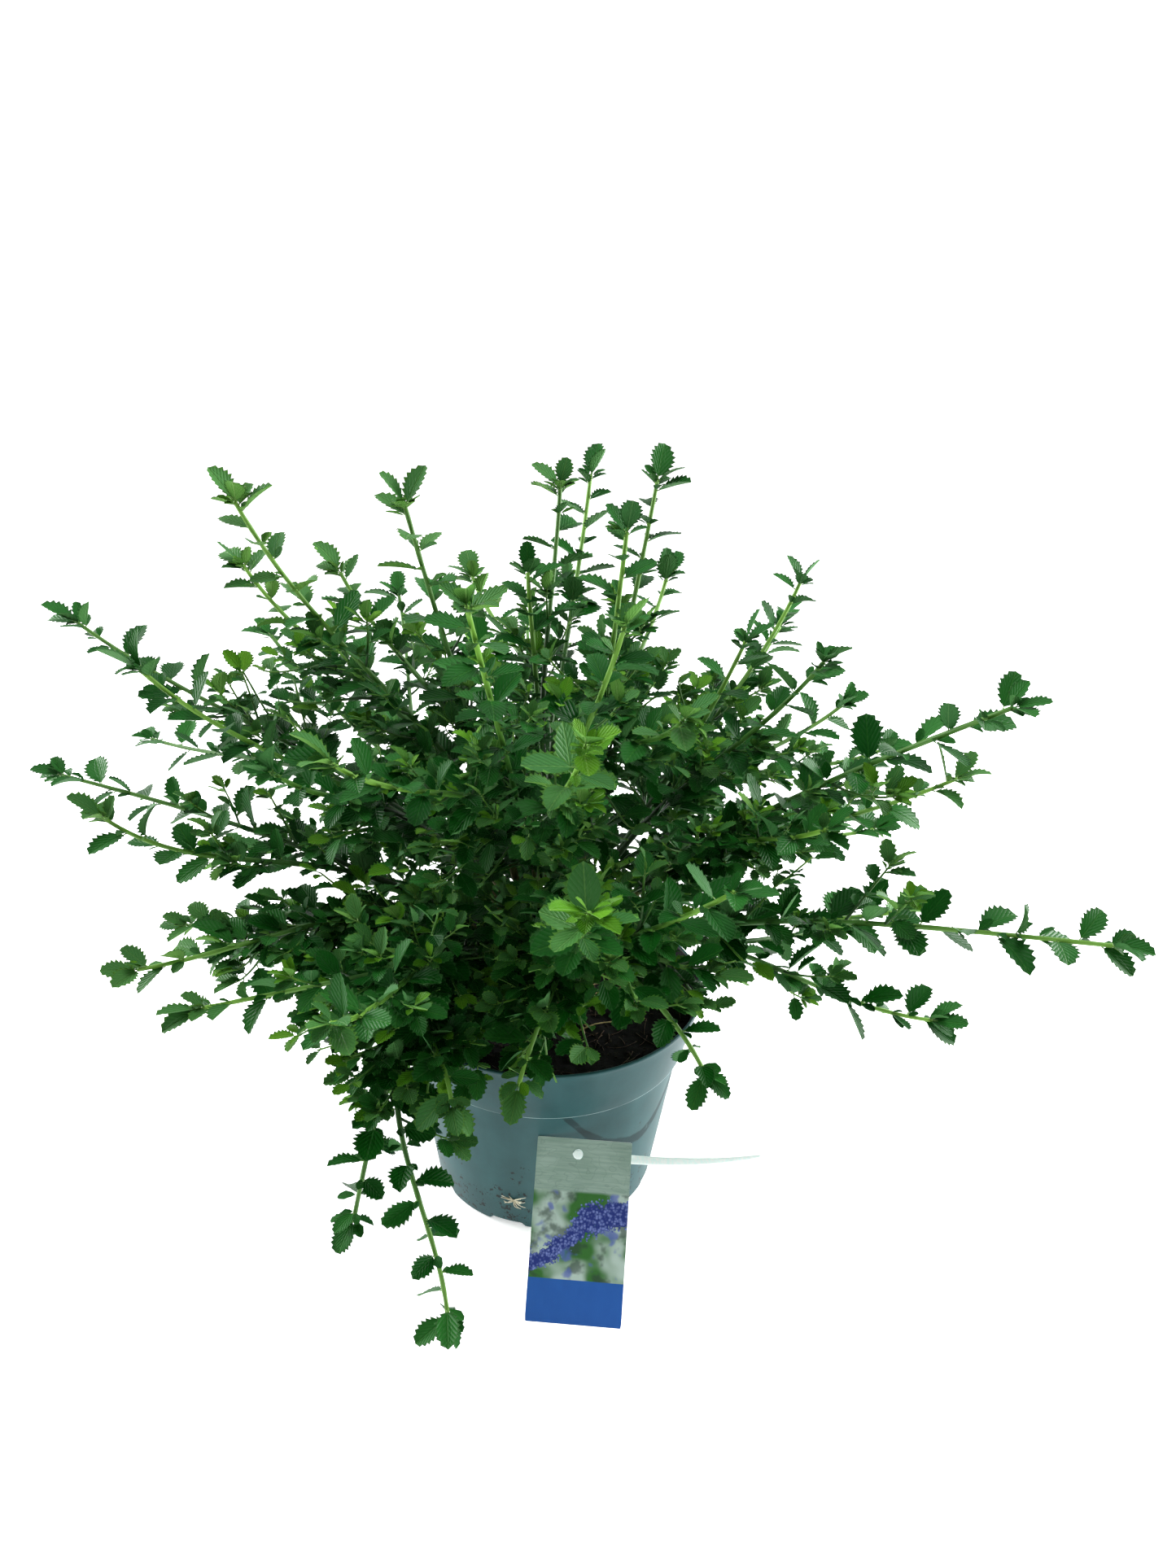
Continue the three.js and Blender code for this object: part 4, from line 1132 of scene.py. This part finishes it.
# inner shoots fill the crown: each reaches an evenly strewn point from the nearest long shoot or bough,
# leaving it further down by slant times the distance, so that it turns off at an easy angle
def growInner():
    tips = np.concatenate([evenPoints(**fill) for fill in fills.values()])
    stalks = np.concatenate([shootLines, boughLines])
    spots, spotStalk, spotShare = sitesOf(stalks)
    far = np.linalg.norm(tips[:, None] - spots[None], axis=-1)
    nearest, gap = far.argmin(1), far.min(1)
    stalk = spotStalk[nearest]
    foot = np.clip(spotShare[nearest] - gap * inner["slant"] / lengths(stalks)[1][stalk], 0.01, 0.95)
    start, along = onCurves(stalks, stalk, foot)
    chord = tips - start
    reach = np.linalg.norm(chord, axis=1)
    grown = limbCurve(start, unit(mix(along, unit(chord), 0.45)), tips, inner["lift"])
    mass = siteMass[np.linalg.norm(tips[:, None] - sites[None], axis=-1).argmin(1)]
    mass = np.where(stalk < len(shootLines), mass, space["shared"])
    kept = (reach > inner["shortest"]) & (reach < inner["longest"]) & ~inWindow(tips)
    kept &= curvesFit(grown, mass, inner, (0.35, 0.7, 1.0))
    return grown[kept], mass[kept], 500 + np.arange(len(grown))[kept], foot[kept]


twigShareOf = np.ones(space["shared"] + 1)
twigShareOf[:len(massNames)] = [sparse.get(name, 1.0) for name in massNames]
shootSeed = np.arange(len(shootLines)) + 1
freshShoot = np.isin(np.array(massNames)[shootMass], freshTips)
innerLines, innerMass, innerSeed, innerShare = growInner()
twigLines, twigMass, _, twigShare, twigSeed = growTwigs(twigs, shootLines, shootMass, shootSeed)
letLines, letMass, letParent, _, letSeed = growTwigs(twiglets, twigLines, twigMass, twigSeed)
offLines, offMass, offParent, _, offSeed = growTwigs(offshoots, innerLines, innerMass, innerSeed)
fineLines = np.concatenate([letLines, offLines])
print(len(innerLines), "inner shoots,", len(twigLines), "side twigs,", len(fineLines), "fine twigs")


# smooth green stalks, brownish at the root and yellow-green at the tip, the paler the higher their tint
def stalkLooks(wire, rootColour, middleColour, tipColour):
    u, v, _ = wire.ownUv().split()
    cloud = wire.objectPlace().speckle(160, 4, 0.6, (1, 1, 0.5))
    ribs = (u * 5.0).repeat()
    young = wire.ownTint().rise(0.3, 0.85)
    colour = (v + cloud * 0.3 - 0.15 + young * 0.3 - 0.2).rise(0.02, 0.45).blend(rootColour, middleColour)
    colour = ((v + cloud * 0.2 - 0.1).rise(0.35, 1.0) * (0.25 + young * 0.75)).blend(colour, tipColour)
    looks = {"Base Color": colour, "Roughness": 0.42 + cloud * 0.2, "Specular IOR Level": 0.4}
    return looks, cloud + ribs * 0.1, 0.00025, 0.4


# stalks drawn as tubes with a small swelling at each node: r = taper (0.94 + 0.16 chance^2)
def makeStalks(name, curves, rule, material, fresh=0, replaced=()):
    lines, radii = drawStalks(curves, rule)
    swell = chance(np.arange(len(curves))[:, None], np.arange(rule["steps"])[None], 7)
    points, faceSets, uvSets = tubes(lines, radii * (0.94 + 0.16 * swell**2), rule["sides"])
    tint = np.maximum(chance(np.arange(len(curves)), 5, 71), fresh)
    addPiece(name, "foliage", points, faceSets, uvSets, material, replaced=replaced,
             tint=np.repeat(tint, len(points) // len(curves)))


shootGreens = paint(30, 58, 26), paint(50, 100, 32), paint(108, 158, 52)
twigGreens = paint(32, 68, 26), paint(54, 104, 34), paint(98, 148, 46)
innerGreens = paint(32, 64, 26), paint(50, 98, 32), paint(96, 146, 46)
fineGreens = paint(42, 88, 30), paint(66, 120, 36), paint(98, 148, 46)
makeStalks("long_shoots", shootLines, shoot, newMaterial("shoot_green", stalkLooks, *shootGreens),
           freshShoot * 1.0, ["foliage_" + name for name in massNames])
makeStalks("side_twigs", twigLines, twigs, newMaterial("twig_green", stalkLooks, *twigGreens))
makeStalks("inner_shoots", innerLines, inner, newMaterial("inner_green", stalkLooks, *innerGreens))
makeStalks("fine_twigs", fineLines, twiglets, newMaterial("twiglet_green", stalkLooks, *fineGreens))

leaf = {
    "teeth": 7, "shortTeeth": 5, "smallTeeth": 3,
    "short": 14.0,  # blades below this length have the fewer teeth
    "toothDepth": 0.125, "smallToothDepth": 0.02,
    "fullest": 1.08, "smallFullest": 1.35,  # power that sets how far towards the tip a blade is widest
    "width": 0.58,  # of the length
    "fold": 0.34,  # rise of the margins above the midrib, of the half width
    "arch": 0.3,  # droop of the tip, of the length
    "thickness": 0.28, "petiole": 0.11, "petioleRadius": 0.36,
    "level": 0.55,  # share of its slope that a blade keeps, because it turns to the light
    "lift": 0.08,
    "tumble": 0.75,  # how far faces stray from upwards
    "rosette": 4,  # young leaves round each stalk's tip
    "axils": 2, "axilShare": 0.62, "axilLength": (5.5, 10.5),  # small leaves in the axils, and how many stay
}
# leaves of each kind of stalk: one every step from a share of its length on, their length in millimetres, how
# much more youth and how much less length they have at its tip, and their spread in degrees from it
leafOn = {
    "shoot": {"step": 9.5, "from": 0.1, "length": 23.0, "tipYouth": 0.05, "tipShrink": 0.2, "spread": 62},
    "inner": {"step": 9.5, "from": 0.12, "length": 18.5, "tipYouth": 0.45, "tipShrink": 0.25, "spread": 58},
    "twig": {"step": 8.5, "from": 0.16, "length": 17.0, "tipYouth": 0.35, "tipShrink": 0.25, "spread": 56},
    "twiglet": {"step": 7.5, "from": 0.3, "length": 15.0, "tipYouth": 0.4, "tipShrink": 0.2, "spread": 54},
}


# half outline w(v) = 0.5 sin(pi v^p)^0.66 with forward-pointing teeth; x across, y from foot to tip, on both
# sides of a midrib. Returns the points, the faces seen from above and the share of each point off the margin
def leafOutline(teeth, power, depth):
    v = np.linspace(0, 0.965, teeth + 1)
    half = 0.5 * np.sin(np.pi * v**power) ** 0.66
    tipV = v[:-1] + (v[1] - v[0]) * 0.74
    tipHalf = 0.5 * np.sin(np.pi * tipV**power) ** 0.66 + depth
    rib = np.stack([0 * v, v], 1)
    notch = np.stack([half[1:] * 0.94, v[1:]], 1)
    tooth = np.stack([tipHalf, tipV], 1)
    flip = [-1, 1]
    points = np.concatenate([rib, [[0, 1.0]], notch, tooth, notch * flip, tooth * flip])
    apex, right, n = teeth + 1, teeth + 2, teeth
    left = right + 2 * n
    k = np.arange(1, n)
    tris, quads = [], []
    for first, turn in ((right, 1), (left, -1)):
        m, t = first + np.arange(n), first + n + np.arange(n)
        tris.append(np.array([[0, m[0], 1], [0, t[0], m[0]], [n, m[-1], apex]])[:, ::turn])
        tris.append(np.stack([m[k - 1], t[k], m[k]], 1)[:, ::turn])
        quads.append(np.stack([k, m[k - 1], m[k], k + 1], 1)[:, ::turn])
    offMargin = np.concatenate([[0], np.ones(n), np.zeros(len(points) - n - 1)])
    return points, [np.concatenate(tris), np.concatenate(quads)], offMargin


# leaves along stalks, wound by the golden turn, and a rosette of young ones round each tip
def growLeaves(rule, curves, mass, seeds, youth):
    _, long = lengths(curves)
    counts = np.maximum(1, np.round(long * (1 - rule["from"]) / rule["step"])).astype(int)
    which, k = spreadOut(counts)
    share = rule["from"] + (1 - rule["from"]) * (k + 0.4) / counts[which]
    foot, along = onCurves(curves, which, share)
    turn = chance(mass[which], seeds[which], 1) * 2 * np.pi + k * goldenTurn
    toward = branchOff(along, turn, rule["spread"] + 20 * (chance(which, k, 33) - 0.5))
    vary = 0.78 + 0.44 * chance(mass[which], seeds[which], k + 20)
    size = rule["length"] * (1 - rule["tipShrink"] * share) * vary
    age = mix(youth[which, 0], youth[which, 1], share**2)
    tipWhich, j = spreadOut(np.full(len(curves), leaf["rosette"]))
    tip, tipAlong = onCurves(curves, tipWhich, np.ones(len(tipWhich)))
    tipTurn = chance(tipWhich, 3, 34) * 2 * np.pi + j * goldenTurn
    tipToward = branchOff(tipAlong, tipTurn, np.where(j == 0, 8.0, 30 + 8.0 * j))
    tipVary = np.where(j < 2, 0.95, 0.62) * (0.8 + 0.4 * chance(tipWhich, j, 35))
    tipSize = rule["length"] * (1 - rule["tipShrink"]) * tipVary
    tipAge = np.maximum(youth[tipWhich, 1], 0.5) + rule["tipYouth"]
    return {
        "foot": np.concatenate([foot, tip - tipAlong * (j * 0.9)[:, None]]),
        "along": np.concatenate([along, tipAlong]),
        "toward": np.concatenate([toward, tipToward]),
        "size": np.concatenate([size, tipSize]),
        "age": np.concatenate([age, tipAge]),
        "mass": np.concatenate([mass[which], mass[tipWhich]]),
        "spray": np.concatenate([seeds[which], seeds[tipWhich]]),
    }


# several sets of leaves end to end
def joinLeaves(sets):
    return {key: np.concatenate([some[key] for some in sets]) for key in sets[0]}


# the leaves that are kept, or those at these numbers
def pickLeaves(leaves, kept):
    return {key: value[kept] for key, value in leaves.items()}


# the spot at a share of each leaf's length from its foot, and on by a few millimetres: foot + toward * way
def alongLeaf(leaves, share, more=0.0):
    return leaves["foot"] + leaves["toward"] * (leaves["size"] * share + more)[:, None]


# unit frame of each leaf: its direction levelled and lifted a little, its face turned up and along the stalk
def faceLeaves(leaves, seed):
    k = np.arange(len(leaves["size"]))
    toward = unit(leaves["toward"] * [1, 1, leaf["level"]] + up * leaf["lift"])
    jitter = np.stack([chance(k, seed, c) - 0.5 for c in (41, 42, 43)], -1)
    face = leaves["along"] * 0.25 + up * 1.0 + jitter * leaf["tumble"]
    face = unit(face - dot(face, toward) * toward)
    return {**leaves, "toward": toward, "face": face, "across": np.cross(toward, face)}


# leaves whose middles would lie closer than `apart` to one already placed are left out
def thin(leaves, apart):
    middles = alongLeaf(leaves, 0.6)
    tree = KDTree(len(middles))
    for i, middle in enumerate(middles):
        tree.insert(middle, i)
    tree.balance()
    kept = np.ones(len(middles), bool)
    for i, middle in enumerate(middles):
        if kept[i]:
            for _, other, _ in tree.find_range(middle, apart):
                if other > i:
                    kept[other] = False
    return pickLeaves(leaves, kept)


# leaves whose middles and tips both fit, with a share of the length for their half width there
def keepFitting(leaves):
    middles = fits(alongLeaf(leaves, 0.55), leaves["mass"], leaves["size"] * 0.18)
    tips = fits(alongLeaf(leaves, 1.05), leaves["mass"], leaves["size"] * 0.02)
    return pickLeaves(leaves, middles & tips)


# blades: P = base + size (x across + y toward + z face), z = fold |x| - arch ((y - 0.3)^2 - 0.09) + ripples
def bladePoints(leaves, outline, offMargin, under):
    k = np.arange(len(leaves["size"]))
    width = leaf["width"] * (0.88 + 0.24 * chance(k, 4, 51))
    fold = leaf["fold"] * (0.4 + 1.2 * chance(k, 4, 52))
    arch = leaf["arch"] * (-0.15 + 1.3 * chance(k, 4, 53))
    x = outline[None, :, 0] * width[:, None]
    y = np.broadcast_to(outline[None, :, 1], x.shape)
    ripple = 0.014 * (chance(k[:, None], np.arange(len(outline))[None], 54) - 0.5) * (offMargin == 0)
    z = fold[:, None] * np.abs(x) - arch[:, None] * (y - 0.3) ** 2 + 0.09 * arch[:, None] + ripple
    size = leaves["size"][:, None]
    parts = {"across": x * size, "toward": y * size, "face": z * size - leaf["thickness"] * offMargin * under}
    base = alongLeaf(leaves, leaf["petiole"], 0.6)[:, None]
    return base + sum(leaves[axis][:, None] * part[..., None] for axis, part in parts.items())


# one sheet of every blade: the upper one, or with under the lower one, which faces down
def makeBlades(name, leaves, shape, under, material):
    outline, faceSets, offMargin = shape
    points = bladePoints(leaves, outline, offMargin, under)
    n, each = points.shape[:2]
    turned = [corners[:, ::-1] if under else corners for corners in faceSets]
    uvs = [np.repeat((outline + [0.5, 0])[corners][None], n, 0) for corners in turned]
    addPiece(name, "foliage", points.reshape(-1, 3), copyFaces(turned, n, each), uvs, material,
             tint=np.repeat(chance(np.arange(n), 6, 55), each))


# glossy blade: puffed between sunk veins, cloudy, each leaf a little lighter or darker than the next
def leafLooks(wire, deep, pale, vein, rough, veinShare, sunk):
    u, v, _ = wire.ownUv().split()
    off = abs(u - 0.5)
    rib = 1 - off.rise(0.0, 0.05)
    slant = (v * 6.5 - off * 7.0).repeat()
    puff = slant * (1 - slant) * 4.0
    arms = 1 - abs(off - v * (1.0 - v) * 0.62).rise(0.0, 0.045)
    veins = (1 - puff.rise(0.0, 0.35)) * 0.6 + rib
    cloud = wire.objectPlace().speckle(70, 4, 0.6)
    colour = (wire.ownTint() * 0.75 + cloud * 0.5 - 0.12).blend(deep, pale)
    colour = ((veins + arms * 0.4).rise(0.2, 1.3) * veinShare).blend(colour, vein)
    height = puff * 0.5 - rib * 0.8 - arms * 0.3 if sunk else rib + arms * 0.5 - puff * 0.3
    looks = {"Base Color": colour, "Roughness": rough + cloud * 0.14, "Specular IOR Level": 0.08}
    return looks, height, 0.0006, 0.6


# youth at the root and the tip of every stalk, the more of it the further out its parent bore it
shootYouth = np.stack([np.full(len(shootLines), 0.0), np.where(freshShoot, 0.85, 0.45)], 1)
twigYouth = np.stack([0.1 + 0.35 * twigShare, 0.3 + 0.6 * twigShare], 1)
innerYouth = np.stack([0.05 + 0 * innerShare, 0.35 + 0.4 * innerShare], 1)
stalkSets = (
    ("shoot", shootLines, shootMass, shootSeed, shootYouth),
    ("twig", twigLines, twigMass, twigSeed, twigYouth),
    ("inner", innerLines, innerMass, innerSeed, innerYouth),
    ("twiglet", letLines, letMass, letSeed, twigYouth[letParent]),
    ("twiglet", offLines, offMass, offSeed, innerYouth[offParent]),
)
grown = [growLeaves(leafOn[kind], *stalks) for kind, *stalks in stalkSets]
grown[1:] = [pickLeaves(some, ~inWindow(alongLeaf(some, 1))) for some in grown[1:]]
leaves = thin(keepFitting(faceLeaves(joinLeaves(grown), 1)), space["apart"])
print(len(leaves["size"]), "leaves")


# small leaves in the axil of each leaf, half way from it to the stalk and one to either side
def growAxils(leaves):
    count, each = len(leaves["size"]), leaf["axils"]
    many, pair = np.tile(np.arange(count), each), np.repeat(np.arange(each), count)
    swing = np.where(pair == 0, 1.0, -1.0)[:, None]
    base = pickLeaves(leaves, many)
    aside = unit(np.cross(base["along"], base["toward"]))
    between = mix(base["along"], base["toward"], 0.45 + 0.2 * chance(many, pair, 61)[:, None])
    toward = unit(between + aside * swing * 0.75)
    size = mix(*leaf["axilLength"], chance(many, pair, 62))
    made = {**base, "toward": toward, "size": size, "age": base["age"] + 0.15}
    return faceLeaves(pickLeaves(made, chance(many, pair, 63) < leaf["axilShare"]), 2)


# the long shoots and side twigs carry them
axils = thin(keepFitting(growAxils(faceLeaves(joinLeaves(grown[:2]), 1))), space["axilsApart"])
print(len(axils["size"]), "small leaves")


# leaf stalks from the twig's middle to each blade
def makePetioles(leaves, material):
    lines = np.stack([leaves["foot"], alongLeaf(leaves, leaf["petiole"], 0.9)], 1)
    radii = np.broadcast_to([leaf["petioleRadius"] * 1.2, leaf["petioleRadius"]], lines.shape[:2])
    addPiece("leaf_stalks", "foliage", *tubes(lines, radii, 3), material)


stalkGreens = paint(84, 124, 50), paint(92, 134, 54), paint(110, 150, 60)
makePetioles(leaves, newMaterial("leaf_stalk_green", stalkLooks, *stalkGreens))

tones = {  # the crown's middle and reach, and how much each of three things counts in a leaf's tone
    "middle": (0, 0, 215), "reach": (230, 230, 200), "farthest": 1.2,
    "byReach": 0.08, "byAge": 0.45, "byChance": 0.36,
}
greens = {  # tone from and to, deep and pale colour, colour of the veins, roughness and strength of the veins
    "deep": (-1.0, 0.33, paint(4, 57, 10), paint(17, 83, 19), paint(52, 116, 42), 0.34, 0.25),
    "mid": (0.33, 0.53, paint(18, 76, 22), paint(40, 102, 38), paint(80, 140, 58), 0.34, 0.3),
    "fresh": (0.53, 0.73, paint(44, 94, 44), paint(70, 120, 58), paint(112, 156, 80), 0.36, 0.35),
    "young": (0.73, 9.0, paint(66, 120, 24), paint(94, 148, 34), paint(130, 176, 62), 0.36, 0.4),
}
backs = {  # the same, without the tones, for the under sides of the two darker and of the two paler greens
    "dark": (paint(50, 100, 52), paint(74, 124, 66), paint(104, 148, 90), 0.55, 0.5),
    "pale": (paint(76, 128, 52), paint(104, 152, 70), paint(140, 178, 100), 0.55, 0.5),
}


# tone = byReach * min(way from the crown's middle in reaches, farthest) + byAge * age + byChance * chance of
# the spray
def toneOf(leaves):
    reach = np.linalg.norm((leaves["foot"] - tones["middle"]) / tones["reach"], axis=1)
    tone = tones["byReach"] * np.clip(reach, 0, tones["farthest"]) + tones["byAge"] * leaves["age"]
    return tone + tones["byChance"] * chance(leaves["spray"], 8, 9)


underSides = {key: newMaterial("leaf_back_" + key, leafLooks, *looks, False) for key, looks in backs.items()}
bladeShape = leafOutline(leaf["teeth"], leaf["fullest"], leaf["toothDepth"])
shortShape = leafOutline(leaf["shortTeeth"], leaf["fullest"], leaf["toothDepth"])
smallShape = leafOutline(leaf["smallTeeth"], leaf["smallFullest"], leaf["smallToothDepth"])
leafTone, axilTone = toneOf(leaves), toneOf(axils)
for name, (low, high, *looks) in greens.items():
    some = pickLeaves(leaves, (leafTone >= low) & (leafTone < high))
    few = pickLeaves(axils, (axilTone >= low) & (axilTone < high))
    long = some["size"] >= leaf["short"]
    face = newMaterial("leaf_" + name, leafLooks, *looks, True)
    back = underSides["dark" if name in ("deep", "mid") else "pale"]
    kinds = (("", pickLeaves(some, long), bladeShape), ("short_", pickLeaves(some, ~long), shortShape),
             ("small_", few, smallShape))
    for kind, chosen, shape in kinds:
        makeBlades(kind + "leaves_" + name, chosen, shape, False, face)
        makeBlades(kind + "backs_" + name, chosen, shape, True, back)
    print(name, long.sum(), "long leaves,", (~long).sum(), "short,", len(few["size"]), "small")

studio = {
    "floorReach": 8, "floorSides": 96, "floorDrop": 0.0003,
    "floorPaint": (0.92, 0.92, 0.92, 1),
    "floorGlow": 0.5,  # the floor is lit through, as on a light table
    "backLight": 1.0, "frontLight": 0.36,  # strength of the white surroundings behind the plant and before it
    "backdrop": 1.2,  # what the camera sees of them
    "lampsAim": (0, 0, 0.2),
    "lamps": {
        "lamp_above": {"at": (0.15, -0.1, 2.0), "size": 1.0, "power": 20},
        "lamp_left": {"at": (-1.4, 0.5, 0.6), "size": 0.9, "power": 38},
        "lamp_right": {"at": (1.4, 0.5, 0.6), "size": 0.9, "power": 44},
    },
}


# matte white that glows evenly
def floorLooks(wire):
    looks = {"Base Color": studio["floorPaint"], "Roughness": 0.9, "Specular IOR Level": 0.1,
             "Emission Color": (1, 1, 1, 1), "Emission Strength": studio["floorGlow"]}
    return looks, None, 0, 0


# a round sheet: triangles from its middle to a ring r (cos a, sin a)
def makeFloor(material):
    angle, j = around(studio["floorSides"]), np.arange(studio["floorSides"])
    ring = np.stack([np.cos(angle), np.sin(angle), 0 * angle], -1) * studio["floorReach"] / metre
    faces = np.stack([0 * j, j + 1, (j + 1) % len(j) + 1], -1)
    points = np.concatenate([[[0, 0, 0]], ring])
    floor = putMesh("studio_floor", points, [faces], None, [material], smooth=False)
    floor.location.z = -studio["floorDrop"]


# a square soft lamp that faces the plant
def softLamp(name, at, size, power):
    data = bpy.data.lights.new(name, "AREA")
    data.shape, data.size, data.energy = "SQUARE", size, power
    lamp = bpy.data.objects.new(name, data)
    lamp.location = at
    lamp.rotation_euler = (Vector(studio["lampsAim"]) - Vector(at)).to_track_quat("-Z", "Y").to_euler()
    scene.collection.objects.link(lamp)


# white surroundings, brighter behind the plant than before it, and plain white where the camera sees them
def makeSurroundings():
    world = bpy.data.worlds.new("studio_white")
    world.use_nodes = True
    world.node_tree.nodes.clear()
    wire = Wire(world.node_tree)
    _, y, _ = wire.node("ShaderNodeTexCoord", output="Generated").split()
    behind = y.rise(-0.6, 0.6)
    lit = studio["backLight"] * behind + studio["frontLight"] * (1 - behind)
    seen = wire.node("ShaderNodeLightPath", output="Is Camera Ray")
    strength = seen * studio["backdrop"] + (1 - seen) * lit
    sky = wire.node("ShaderNodeBackground", None, {"Color": (1, 1, 1, 1), "Strength": strength})
    wire.node("ShaderNodeOutputWorld", None, {"Surface": sky})
    scene.world = world


makeFloor(newMaterial("studio_floor", floorLooks))
for name, lamp in studio["lamps"].items():
    softLamp(name, **lamp)
makeSurroundings()
scene.view_settings.view_transform = "Standard"
print("floor and light made")
